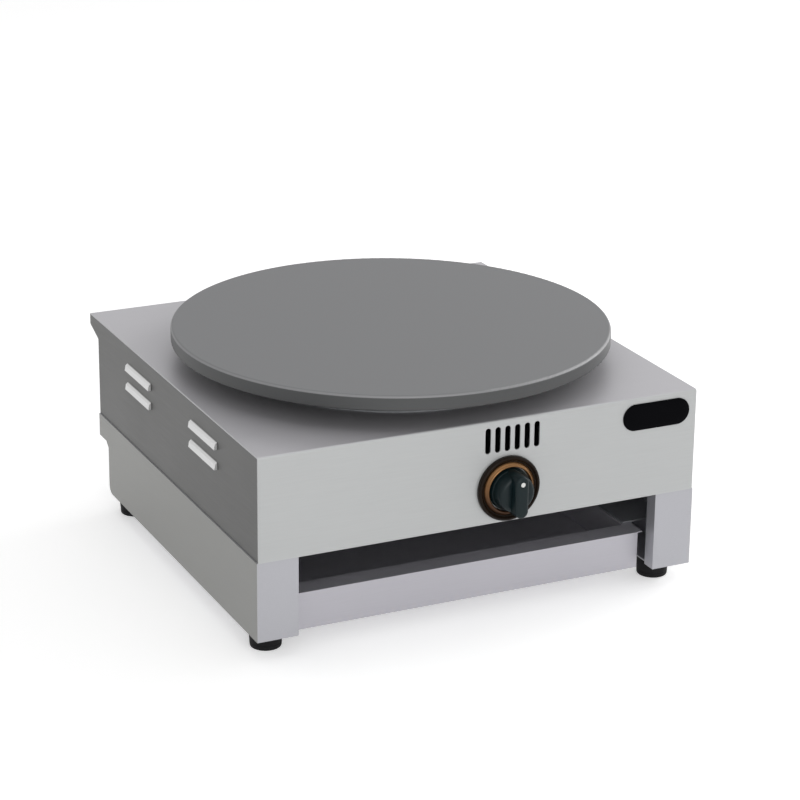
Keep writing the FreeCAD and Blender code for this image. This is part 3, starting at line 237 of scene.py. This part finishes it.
# Mask rises from 0 to 1 over Width once |Object coordinates . Direction| passes Start
def beyondGroup():
    group, add, link, given, out = newGroup("beyond", [
        ("Direction", "NodeSocketVector", (0, 0, 1)), ("Start", "NodeSocketFloat", 0.0),
        ("Width", "NodeSocketFloat", 0.001)], ["Mask"])
    coords = add("ShaderNodeTexCoord").outputs["Object"]
    reach = add("ShaderNodeMath")
    reach.operation = "ABSOLUTE"
    link(vectorStep(add, link, "DOT_PRODUCT", coords, given["Direction"]), reach.inputs[0])
    past = add("ShaderNodeMath")
    past.operation = "SUBTRACT"
    link(reach.outputs[0], past.inputs[0])
    link(given["Start"], past.inputs[1])
    share = add("ShaderNodeMath")
    share.operation = "DIVIDE"
    share.use_clamp = True
    link(past.outputs[0], share.inputs[0])
    link(given["Width"], share.inputs[1])
    link(share.outputs[0], out["Mask"])
    return group


grain = grainGroup()
latheMarks = latheGroup()
spread = spreadGroup()
beyond = beyondGroup()


# what a look has where it says nothing else
plainLook = {"metallic": 0.0, "specular": 0.5, "stretch": (1, 1, 1), "fine": 400.0, "cloud": 9.0,
             "axis": (0, 0, 1), "tone": (0.08, 0.08), "roughSpread": (0.1, 0.1), "bump": 0.1,
             "bumpDepth": 0.0002, "past": []}
mixFactor, mixFirst, mixSecond, mixResult = 0, 6, 7, 2  # a Mix node's colour sockets share their names


# material whose colour, roughness and bump follow the grain
# colour = mix(colour, further colour, mask) for each level in "past", then times the tone
def finish(name, look):
    look = {**plainLook, **look}
    material = bpy.data.materials.new(name)
    material.use_nodes = True
    tree = material.node_tree
    add, link = tree.nodes.new, tree.links.new
    shader = tree.nodes["Principled BSDF"]
    shader.inputs["Metallic"].default_value = look["metallic"]
    shader.inputs["Specular IOR Level"].default_value = look["specular"]

    def place(group, **values):
        node = add("ShaderNodeGroup")
        node.node_tree = group
        for label, value in values.items():
            node.inputs[label].default_value = value
        return node

    noise = place(grain, Stretch=look["stretch"], Fine=look["fine"], Cloud=look["cloud"])
    lines = noise.outputs["Lines"]
    if "lathe" in look:
        lines = place(latheMarks, Centre=look["lathe"], Axis=look["axis"], Fine=look["fine"]).outputs["Lines"]

    def varied(middle, amount, cloudAmount):
        node = place(spread, Middle=middle, Amount=amount, CloudAmount=cloudAmount)
        link(lines, node.inputs["Lines"])
        link(noise.outputs["Clouds"], node.inputs["Clouds"])
        return node

    def give(value, socket):
        if isinstance(value, (float, tuple)):
            socket.default_value = value
        else:
            link(value, socket)

    def mixed(blend, factor, first, second):
        node = add("ShaderNodeMix")
        node.data_type = "RGBA"
        node.blend_type = blend
        give(factor, node.inputs[mixFactor])
        give(first, node.inputs[mixFirst])
        give(second, node.inputs[mixSecond])
        return node.outputs[mixResult]

    colour = (*look["colour"], 1.0)
    rough = varied(look["rough"], *look["roughSpread"])
    roughLevel = look["rough"]
    for past in look["past"]:
        mask = place(beyond, Direction=past["direction"], Start=past["start"], Width=past["width"])
        colour = mixed("MIX", mask.outputs["Mask"], colour, (*past["colour"], 1.0))
        level = add("ShaderNodeMapRange")
        give(roughLevel, level.inputs["To Min"])
        level.inputs["To Max"].default_value = past["rough"]
        link(mask.outputs["Mask"], level.inputs["Value"])
        roughLevel = level.outputs["Result"]
        link(roughLevel, rough.inputs["Middle"])
    tone = varied(1.0, *look["tone"]).outputs["Value"]
    link(mixed("MULTIPLY", 1.0, colour, tone), shader.inputs["Base Color"])
    link(rough.outputs["Value"], shader.inputs["Roughness"])
    bump = add("ShaderNodeBump")
    bump.inputs["Strength"].default_value = look["bump"]
    bump.inputs["Distance"].default_value = look["bumpDepth"]
    link(lines, bump.inputs["Height"])
    link(bump.outputs["Normal"], shader.inputs["Normal"])
    return material


# finishes of the CAD nodes

brushedX = (0.03, 1, 1)  # sheet brushed across the machine
brushedY = (1, 0.03, 1)  # sheet brushed from front to back
plateMiddle = middleOf("crepe_plate")
knobMiddle = middleOf("control_knob")
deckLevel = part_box("top_cover")[1].z
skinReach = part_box("top_cover")[1].x
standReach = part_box("base_right_side")[1].x
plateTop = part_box("crepe_plate")[1].z
# tone and roughSpread are the share of lines, then of clouds; past gives a further colour past a level, and
# every such level below is painted light or shade
looks = {
    "coverSteel": dict(colour=(0.52, 0.53, 0.53), metallic=0.3, rough=0.46, stretch=brushedX, fine=900,
                       tone=(0.1, 0.06), roughSpread=(0.16, 0.1), bump=0.12,
                       # top face painted a slightly darker, more lavender tone than the front of the same
                       # sheet: painted shade
                       past=[dict(direction=(0, 0, 1), start=deckLevel - 0.0006, width=0.0005,
                                  colour=(0.49, 0.482, 0.505), rough=0.48)]),
    # side panels painted much darker than the rest of the steel: painted shade
    "sideSteelPaintedLight": dict(colour=(0.112, 0.112, 0.11), metallic=0.5, rough=0.45, stretch=brushedY, fine=900,
                      tone=(0.1, 0.08), roughSpread=(0.15, 0.1), bump=0.12,
                      # louvre hoods standing out past the skin painted near-white: painted highlight
                      past=[dict(direction=(1, 0, 0), start=skinReach + 0.0001, width=0.0008,
                                 colour=(0.74, 0.74, 0.74), rough=0.35)]),
    "standSteel": dict(colour=(0.46, 0.46, 0.49), metallic=0.5, rough=0.42, stretch=brushedY, fine=900,
                       tone=(0.1, 0.08), roughSpread=(0.15, 0.1), bump=0.1,
                       # outer side faces of the stand painted darker than the leg fronts: painted shade
                       past=[dict(direction=(1, 0, 0), start=standReach - 0.0003, width=0.0002,
                                  colour=(0.29, 0.29, 0.28), rough=0.45)]),
    "rearSteel": dict(colour=(0.46, 0.46, 0.47), metallic=0.6, rough=0.42, stretch=brushedX, fine=900,
                      tone=(0.1, 0.08), roughSpread=(0.15, 0.1), bump=0.1),
    "traySteel": dict(colour=(0.5, 0.49, 0.53), metallic=0.5, rough=0.42, stretch=brushedX, fine=900,
                      tone=(0.1, 0.06), roughSpread=(0.16, 0.1), bump=0.1),
    "zincSheet": dict(colour=(0.42, 0.43, 0.45), metallic=0.8, rough=0.45, fine=60, cloud=30,
                      tone=(0.2, 0.2)),
    "zincBright": dict(colour=(0.6, 0.61, 0.64), metallic=1.0, rough=0.3, fine=300, tone=(0.1, 0.1)),
    # the plate's side keeps this colour, painted far darker than its top: painted shade
    "plateIron": dict(colour=(0.075, 0.077, 0.078), metallic=0.3, rough=0.5, fine=1400, cloud=6,
                      lathe=plateMiddle, tone=(0.12, 0.12), roughSpread=(0.1, 0.12), bump=0.06,
                      # a band on the rounded upper edge painted lighter than top and side: painted highlight;
                      # the next level is the top's own colour
                      past=[dict(direction=(0, 0, 1), start=plateTop - 0.0024, width=0.0006,
                                 colour=(0.26, 0.26, 0.265), rough=0.55),
                            dict(direction=(0, 0, 1), start=plateTop - 0.0007, width=0.0005,
                                 colour=(0.19, 0.192, 0.197), rough=0.6)]),
    "heaterSheath": dict(colour=(0.16, 0.15, 0.15), metallic=0.7, rough=0.55, fine=200, cloud=25,
                         tone=(0.2, 0.3)),
    "mineralWool": dict(colour=(0.72, 0.69, 0.6), rough=0.95, fine=500, tone=(0.25, 0.2), bump=0.6),
    "footRubber": dict(colour=(0.008, 0.008, 0.009), rough=0.7, specular=0.2, fine=700,
                       tone=(0.3, 0.2), bump=0.2),
    "switchPlastic": dict(colour=(0.05, 0.05, 0.055), rough=0.5, fine=500, bump=0.1),
    "resetRed": dict(colour=(0.5, 0.03, 0.03), rough=0.35, fine=500, bump=0.05),
    "blockWhite": dict(colour=(0.8, 0.78, 0.72), rough=0.5, fine=500, bump=0.05),
    "glandPlastic": dict(colour=(0.03, 0.03, 0.032), rough=0.45, fine=600, bump=0.12),
    "copperTube": dict(colour=(0.66, 0.36, 0.22), metallic=1.0, rough=0.35, fine=200, cloud=40,
                       tone=(0.15, 0.25)),
    "earthBrass": dict(colour=(0.68, 0.5, 0.22), metallic=1.0, rough=0.3, fine=200, tone=(0.1, 0.15)),
    "wireBrown": dict(colour=(0.2, 0.08, 0.03), rough=0.5, fine=900, bump=0.2),
    "wireBlue": dict(colour=(0.04, 0.12, 0.42), rough=0.5, fine=900, bump=0.2),
    "wireGreen": dict(colour=(0.1, 0.38, 0.08), rough=0.5, fine=900, bump=0.2),
    # the faint teal in the black stands in for a bluish shine: painted sheen
    "knobPlastic": dict(colour=(0.004, 0.012, 0.014), rough=0.3, specular=0.22, fine=900, cloud=60,
                        tone=(0.3, 0.3), roughSpread=(0.08, 0.12), bump=0.04),
    "bezelGloss": dict(colour=(0.012, 0.007, 0.004), rough=0.25, specular=0.1, fine=1500, cloud=60,
                       lathe=knobMiddle, axis=(0, 1, 0), tone=(0.4, 0.3), bump=0.03),
    "goldBandPaintedReflection": dict(colour=(0.07, 0.03, 0.012), metallic=0.7, rough=0.34, fine=1500, cloud=60,
                     lathe=knobMiddle, axis=(0, 1, 0), tone=(0.3, 0.5), bump=0.05,
                     # the ring is painted lighter and more golden towards its top: painted reflection
                     past=[dict(direction=(0, 0, 1), start=knobMiddle.z - 0.012, width=0.03,
                                colour=(0.24, 0.12, 0.045), rough=0.28)]),
    "dotPaint": dict(colour=(0.8, 0.8, 0.78), rough=0.5, fine=900, tone=(0.1, 0.1), bump=0.05),
    "badgeGloss": dict(colour=(0.003, 0.003, 0.004), rough=0.2, specular=0.02, fine=500, cloud=40,
                       tone=(0.2, 0.2), roughSpread=(0.04, 0.08), bump=0.02),
}
finishes = {name: finish(name, look) for name, look in looks.items()}

nodeFinishes = {
    "coverSteel": ["top_cover"],
    "sideSteelPaintedLight": ["left_side_panel", "right_side_panel"],
    "standSteel": ["base_left_side", "base_right_side"],
    "rearSteel": ["base_rear_panel", "rear_panel"],
    "traySteel": ["drip_tray"],
    "zincSheet": ["casing_floor", "left_tray_runner", "right_tray_runner", "heat_shield_pan",
                  "front_support_rail", "rear_support_rail", "clamp_disc"],
    "zincBright": ["plate_studs", "stud_spacers", "stud_nuts", "rear_screws", "base_screws", "foot_screws",
                   "foot_nuts", "knob_grub_screw", "thermostat_screws", "limiter_nut", "block_screws",
                   "earth_nuts", "thermostat_shaft"],
    "plateIron": ["crepe_plate"],
    "heaterSheath": ["heating_element"],
    "mineralWool": ["insulation_disc"],
    "footRubber": ["foot_front_left", "foot_front_right", "foot_rear_left", "foot_rear_right"],
    "switchPlastic": ["thermostat_body", "limit_thermostat"],
    "resetRed": ["reset_button"],
    "blockWhite": ["terminal_block"],
    "glandPlastic": ["cable_gland", "gland_nut"],
    "copperTube": ["thermostat_bulb", "thermostat_capillary", "limiter_bulb", "limiter_capillary"],
    "earthBrass": ["earth_stud"],
    "wireBrown": ["live_lead", "element_lead_live"],
    "wireBlue": ["neutral_lead", "element_lead_neutral"],
    "wireGreen": ["earth_lead"],
    "knobPlastic": ["control_knob"],
    "bezelGloss": ["dial_bezel"],
    "badgeGloss": ["front_badge"],
}
for name, members in nodeFinishes.items():
    for member in members:
        nodes[member].data.materials.clear()
        nodes[member].data.materials.append(finishes[name])
print("finishes:", len(finishes))


# knob: a turned skirt and hub, a bar grip with rounded nose, and a white dot at the grip's upper end
# nose: at angle a from 0 to 90 degrees the section is in by 2 r (1 - cos a), at depth nose - r (1 - sin a)

knob = {"gap": 0.0015, "length": 0.027, "skirt": 0.0194, "skirtEnd": 0.0075, "hub": 0.0176,
        "hubEnd": 0.0195, "rearEdge": (0.0006, 0.0012), "skirtDraft": 0.0008, "hubRoot": 0.0006,
        "hubDraft": 0.0012, "crown": 0.0004, "rounds": [0.0006, 0.0008, 0.0016, 0.0007, 0.0036],
        "gripWidth": 0.0126, "gripSpan": 0.039, "gripSink": 0.001, "taper": 0.0006,
        "nose": 0.0284, "noseRound": 0.0028, "noseSteps": 7,
        "dot": 0.0021, "dotLevel": 0.0124, "dotSink": 0.0003, "dotRise": 0.0001, "dotFace": 0.8,
        "dotSegments": 32}


def makeKnob():
    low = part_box("control_knob")[0]
    panel = low.y + knob["gap"] + knob["length"]
    middle = (knobMiddle.x, panel, knobMiddle.z)
    gap, skirt, skirtEnd = knob["gap"], knob["skirt"], knob["skirtEnd"]
    hub, hubEnd = knob["hub"], knob["hubEnd"]
    edge, edgeDepth = knob["rearEdge"]
    profile = roundCorners(
        [(0, -gap), (skirt - edge, -gap), (skirt, -gap - edgeDepth), (skirt - knob["skirtDraft"], -skirtEnd),
         (hub + knob["hubRoot"], -skirtEnd), (hub - knob["hubDraft"], -hubEnd), (0, -hubEnd - knob["crown"])],
        knob["rounds"])
    shell = turned("knobShell", profile, middle)
    dress(shell, finishes["knobPlastic"], "knob", "knob_plastic", "control_knob")
    width, span, taper = knob["gripWidth"], knob["gripSpan"], knob["taper"]
    nose, radius = knob["nose"], knob["noseRound"]
    sections = [(width + 2 * taper, span, -skirtEnd + knob["gripSink"]), (width + taper, span, -hubEnd),
                (width, span - taper, -nose + radius)]
    for angle in np.linspace(0, np.pi / 2, knob["noseSteps"])[1:]:
        inset = 2 * radius * (1 - math.cos(angle))
        sections.append((width - inset, span - taper - inset, -nose + radius * (1 - math.sin(angle))))
    grip = barSolid("knobGrip", sections, middle)
    dress(grip, finishes["knobPlastic"], "knob", "knob_plastic", "control_knob")
    dot, sink = knob["dot"], knob["dotSink"]
    rise = sink + knob["dotRise"]
    disc = turned("knobDot", [(0, 0), (dot, 0), (dot, -sink), (dot * knob["dotFace"], -rise), (0, -rise)],
                  (middle[0], panel - nose + sink, middle[2] + knob["dotLevel"]),
                  segments=knob["dotSegments"])
    dress(disc, finishes["dotPaint"], "knob", "knob_plastic", "control_knob")
    return middle


# bezel: a black dished ring on the panel with a raised gold ring inside it, both turned round the knob's axis
# the gold ring rises outside to inside over most of its width, and falls inside by a third of that

bezel = {"outer": 0.0296, "rim": 0.0272, "height": 0.005, "edge": 0.0014, "dish": 0.0032, "dishEdge": 0.0008,
         "rounds": [0.0002, 0.0008, 0.0009, 0.0009, 0.0006, 0.0002], "bandOuter": 0.0246, "bandInner": 0.0202,
         "bandHeight": 0.0064, "bandFit": 0.0001, "bandSlope": 0.75,
         "bandRounds": [0.0002, 0.0012, 0.0012, 0.0006], "segments": 128}


def makeBezel(middle):
    outer, rim, height, edge = bezel["outer"], bezel["rim"], bezel["height"], bezel["edge"]
    bandOuter, bandInner, fit = bezel["bandOuter"], bezel["bandInner"], bezel["bandFit"]
    dish, top, segments = bezel["dish"], bezel["bandHeight"], bezel["segments"]
    profile = roundCorners(
        [(bandOuter, 0), (outer, 0), (outer, -height + edge), (outer - edge, -height), (rim, -height),
         (bandOuter + bezel["dishEdge"], -dish), (bandOuter, -dish), (bandOuter, 0)],
        bezel["rounds"])
    ring = turned("bezelRing", profile, middle, segments=segments)
    dress(ring, finishes["bezelGloss"], "stand", "bezel_plastic", "dial_bezel")
    slope = (bandOuter - bandInner) * bezel["bandSlope"]
    profile = roundCorners(
        [(bandInner, 0), (bandOuter - fit, 0), (bandOuter - fit, -top + slope), (bandOuter - slope, -top),
         (bandInner, -top + slope / 3), (bandInner, 0)],
        bezel["bandRounds"])
    band = turned("dialBand", profile, middle, segments=segments)
    dress(band, finishes["goldBandPaintedReflection"], "stand", "bezel_plastic", "dial_bezel")


# badge: bare black plate with round ends, a narrow rim and a domed face
# face: at share s of the way in, height = face + (crown - face) * sqrt(1 - (1 - s)^2)

badge = {"rim": 0.0006, "rimHeight": 0.0011, "rimShoulder": 0.6, "rimWidth": 2, "faceStart": 3,
         "face": 0.0008, "crown": 0.0016, "crownReach": 0.96, "steps": 9}


def makeBadge():
    low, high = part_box("front_badge")
    width, height = high.x - low.x, high.z - low.z
    rim, rimHeight, shoulder = badge["rim"], badge["rimHeight"], badge["rimShoulder"]
    flat, start, face = badge["rimWidth"] * rim, badge["faceStart"] * rim, badge["face"]
    sections = [(width, height, 0), (width, height, -rimHeight * shoulder),
                (width - rim * shoulder, height - rim * shoulder, -rimHeight),
                (width - flat, height - flat, -rimHeight), (width - start, height - start, -face)]
    for share in np.linspace(0, badge["crownReach"], badge["steps"])[1:]:
        inset = start + (height - start) * share
        rise = math.sqrt(1 - (1 - share) ** 2)
        sections.append((width - inset, height - inset, -face - (badge["crown"] - face) * rise))
    plate = barSolid("badgePlate", sections, ((low.x + high.x) / 2, high.y, (low.z + high.z) / 2))
    dress(plate, finishes["badgeGloss"], "stand", "badge_plastic", "front_badge")


# feet: turned rubber with a groove near the ground and a screw recess

foot = {"base": 0.0137, "top": 0.0152, "groove": 0.0045, "grooveDepth": 0.0006, "grooveHalf": 0.0005,
        "recess": 0.0039, "recessDepth": 0.006, "bore": 0.002,
        "rounds": [0.0004, 0.0014, 0.0003, 0.0004, 0.0003, 0.0006, 0.0001, 0.0001]}


def makeFeet():
    base, top, groove, depth = foot["base"], foot["top"], foot["groove"], foot["grooveDepth"]
    recess, deep, bore, half = foot["recess"], foot["recessDepth"], foot["bore"], foot["grooveHalf"]
    for node in nodeFinishes["footRubber"]:
        low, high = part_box(node)
        height = high.z - low.z
        grooveAt = base + (top - base) * groove / height
        profile = roundCorners(
            [(recess, deep), (recess, 0), (base, 0), (grooveAt, groove - half), (grooveAt - depth, groove),
             (grooveAt, groove + half), (top, height), (bore, height), (bore, deep), (recess, deep)],
            foot["rounds"])
        middle = ((low.x + high.x) / 2, (low.y + high.y) / 2, low.z)
        rubber = turned(node + "_rubber", profile, middle, axis="z")
        dress(rubber, finishes["footRubber"], "stand", "foot_rubber", node)


# rear screws: pan heads, y = height * (f + (1 - f) sqrt(1 - v^2)) with f the flank's share,
# less a depth inside two crossed bars

panHead = {"radius": 0.0036, "height": 0.0023, "flank": 0.4, "barWidth": 0.0006, "barReach": 0.0021,
           "barEdge": 0.0002, "depth": 0.0012, "shank": 0.0019, "reach": 0.0064, "seat": 0.0024,
           "rows": 44, "segments": 96, "smooth": 35}


def makeRearScrews():
    low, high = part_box("rear_screws")
    radius, height, count = panHead["radius"], panHead["height"], panHead["segments"]
    flank, shank, reach = panHead["flank"], panHead["shank"], panHead["reach"]
    v = np.linspace(0, 1, panHead["rows"])[:, None]
    u = np.linspace(0, 2 * np.pi, count, endpoint=False)[None, :]
    x, z = radius * v * np.cos(u), radius * v * np.sin(u)

    def bar(along, across):
        inside = np.minimum(panHead["barReach"] - np.abs(along), panHead["barWidth"] - np.abs(across))
        return np.clip(inside / panHead["barEdge"], 0, 1)

    crown = height * (flank + (1 - flank) * np.sqrt(1 - v ** 2))
    y = crown - panHead["depth"] * np.maximum(bar(x, z), bar(z, x))
    head = np.stack([x, y, z], -1)
    under = turnedPoints(np.array([(radius, 0), (shank, 0), (shank, -reach), (0, -reach)]), (0, 0, 0), "y",
                         segments=count)
    screw = np.concatenate([head, under])
    faces = np.array(gridFaces(len(screw), count))
    screw = screw.reshape(-1, 3)
    panel = high.y - panHead["seat"]
    corners = [(x, z) for x in (low.x + radius, high.x - radius) for z in (low.z + radius, high.z - radius)]
    points = np.concatenate([screw + np.array((x, panel, z)) for x, z in corners])
    allFaces = (faces[None] + np.arange(len(corners))[:, None, None] * len(screw)).reshape(-1, 4)
    heads = makePiece("rearScrewHeads", points, allFaces.tolist(), panHead["smooth"])
    dress(heads, finishes["zincBright"], "stand", "fasteners", "rear_screws")


# cable inlet: radius r(v) times 1, a hexagon cos 30 / cos(u'), or ribs 1 - depth * (0.5 + 0.5 cos(n u))^2

gland = {"hex": 0.0127, "hexLength": 0.006, "hexBevel": (0.0006, 0.0005), "nose": 0.0095, "neck": 0.0074,
         "reach": 0.02, "bore": 0.0045, "thread": 0.008, "inside": 0.0082, "collar": (0.0004, 0.0012),
         "ribs": 18, "ribStart": 0.0018, "ribDepth": 0.07, "ribSegments": 8, "smooth": 30,
         "noseSteps": [(0.0002, 0.0062), (0.001, 0.0042)],
         "neckSteps": [(0.0006, 0.0016), (0, 0.0004), (-0.0005, 0)], "mouth": (0.0005, 0.0006)}


def makeGland():
    middle = middleOf("cable_gland")
    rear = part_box("cable_gland")[1].y - gland["reach"]
    count = gland["ribs"] * gland["ribSegments"]
    u = np.linspace(0, 2 * np.pi, count, endpoint=False)
    plain = np.ones(count)
    hexagon = math.cos(math.pi / 6) / np.cos((u + np.pi / 6) % (np.pi / 3) - np.pi / 6)
    ribbed = 1 - gland["ribDepth"] * (0.5 + 0.5 * np.cos(gland["ribs"] * u)) ** 2
    across, length, reach, bore = gland["hex"], gland["hexLength"], gland["reach"], gland["bore"]
    nose, neck, inside, thread = gland["nose"], gland["neck"], gland["inside"], gland["thread"]
    bevel, bevelDepth = gland["hexBevel"]
    collar = nose + gland["collar"][0]
    mouth, mouthDepth = gland["mouth"]
    rows = [(bore, -inside, plain), (thread, -inside, plain), (thread, 0, plain),
            (across - bevel, 0, hexagon), (across, bevelDepth, hexagon),
            (across, length - bevelDepth, hexagon), (across - bevel, length, hexagon),
            (collar, length, plain), (collar, length + gland["collar"][1], plain),
            (nose, length + gland["ribStart"], ribbed)]
    rows += [(nose - less, reach - back, ribbed) for less, back in gland["noseSteps"]]
    rows += [(neck + more, reach - back, plain) for more, back in gland["neckSteps"]]
    rows += [(bore + mouth, reach, plain), (bore, reach - mouthDepth, plain), (bore, -inside, plain)]
    profile = np.array([(radius, along) for radius, along, _ in rows])
    outlines = np.stack([shape for _, _, shape in rows])
    inlet = turned("glandBody", profile, (middle.x, rear, middle.z), spread=outlines, segments=count,
                   smooth=gland["smooth"])
    dress(inlet, finishes["glandPlastic"], "stand", "gland_plastic", "cable_gland")


makeBezel(makeKnob())
makeBadge()
makeFeet()
makeRearScrews()
makeGland()
print("pieces: knob, bezel, badge, feet, screws and cable inlet")


# floor and backdrop

studio = {"floorSize": 8.0, "floorColour": (0.9, 0.9, 0.9), "floorRough": 0.8, "lift": 0.43,
          "worldLevel": 0.5, "worldSeen": 1.0}


# 1 for rays of the camera, of metal and of glass, 0 for the light on the object
def backgroundRays(tree):
    path = tree.nodes.new("ShaderNodeLightPath")
    result = path.outputs["Is Camera Ray"]
    for label in ("Is Glossy Ray", "Is Transmission Ray"):
        either = tree.nodes.new("ShaderNodeMath")
        either.operation = "MAXIMUM"
        tree.links.new(result, either.inputs[0])
        tree.links.new(path.outputs[label], either.inputs[1])
        result = either.outputs[0]
    return result


# flat square: corners at plus and minus half the size
def makeFloor():
    half = studio["floorSize"] / 2
    corners = np.array([(-half, -half, 0), (half, -half, 0), (half, half, 0), (-half, half, 0)])
    mesh = bpy.data.meshes.new("floor")
    mesh.from_pydata(corners.tolist(), [], [(0, 1, 2, 3)])
    floor = bpy.data.objects.new("floor", mesh)
    bpy.context.scene.collection.objects.link(floor)
    material = bpy.data.materials.new("floorPaint")
    material.use_nodes = True
    tree = material.node_tree
    shader = tree.nodes["Principled BSDF"]
    shader.inputs["Base Color"].default_value = (*studio["floorColour"], 1)
    shader.inputs["Roughness"].default_value = studio["floorRough"]
    shader.inputs["Emission Color"].default_value = (1, 1, 1, 1)
    lift = tree.nodes.new("ShaderNodeMath")
    lift.operation = "MULTIPLY"
    lift.inputs[1].default_value = studio["lift"]
    tree.links.new(backgroundRays(tree), lift.inputs[0])
    tree.links.new(lift.outputs[0], shader.inputs["Emission Strength"])
    mesh.materials.append(material)


# grey light for the object, white where the camera, metal or glass sees it
def makeWorld():
    world = bpy.data.worlds.new("studioWorld")
    bpy.context.scene.world = world
    world.use_nodes = True
    tree = world.node_tree
    background = tree.nodes["Background"]
    background.inputs["Color"].default_value = (1, 1, 1, 1)
    level = tree.nodes.new("ShaderNodeMapRange")
    level.inputs["To Min"].default_value = studio["worldLevel"]
    level.inputs["To Max"].default_value = studio["worldSeen"]
    tree.links.new(backgroundRays(tree), level.inputs["Value"])
    tree.links.new(level.outputs["Result"], background.inputs["Strength"])


# light

lamps = [
    dict(name="rightLamp", at=(2.2, 0.4, 1.0), aim=(0, 0, 0.15), size=1.4, watts=24),
    dict(name="frontLamp", at=(-0.5, -2.6, 1.0), aim=(0, 0, 0.1), size=1.6, watts=17),
    dict(name="topLamp", at=(0.1, 0.1, 2.4), aim=(0, 0, 0), size=1.8, watts=6),
]


def makeLamps():
    for lamp in lamps:
        data = bpy.data.lights.new(lamp["name"], "AREA")
        data.size = lamp["size"]
        data.energy = lamp["watts"]
        item = bpy.data.objects.new(lamp["name"], data)
        item.location = lamp["at"]
        heading = Vector(lamp["aim"]) - Vector(lamp["at"])
        item.rotation_euler = heading.to_track_quat("-Z", "Y").to_euler()
        bpy.context.scene.collection.objects.link(item)


makeFloor()
makeWorld()
makeLamps()
bpy.context.scene.view_settings.view_transform = "Standard"
print("studio: floor, world and", len(lamps), "lamps")


# camera, as solved from the photograph's edges

view = {"at": (-0.97698, -2.06841, 0.97240), "azimuth": 24.440, "elevation": 19.3745, "roll": 0.2625,
        "focalPixels": 2641.3, "middle": (350.73, 371.32), "frame": 800, "sensor": 36.0, "far": 50}


# axes from azimuth a and elevation e: forward = (cos e sin a, cos e cos a, -sin e)
def makeCamera():
    azimuth, elevation = math.radians(view["azimuth"]), math.radians(view["elevation"])
    forward = Vector((math.cos(elevation) * math.sin(azimuth), math.cos(elevation) * math.cos(azimuth),
                      -math.sin(elevation)))
    right = Vector((math.cos(azimuth), -math.sin(azimuth), 0))
    up = right.cross(forward)
    roll = math.radians(view["roll"])
    right, up = right * math.cos(roll) + up * math.sin(roll), up * math.cos(roll) - right * math.sin(roll)
    data = bpy.data.cameras.new("photoCamera")
    data.sensor_width = view["sensor"]
    data.lens = view["focalPixels"] / view["frame"] * view["sensor"]
    data.shift_x = 0.5 - view["middle"][0] / view["frame"]
    data.shift_y = view["middle"][1] / view["frame"] - 0.5
    data.clip_end = view["far"]
    camera = bpy.data.objects.new("photoCamera", data)
    axes = Matrix((right, up, -forward)).transposed().to_4x4()
    camera.matrix_world = Matrix.Translation(view["at"]) @ axes
    bpy.context.scene.collection.objects.link(camera)
    bpy.context.scene.camera = camera


makeCamera()
print("camera set")
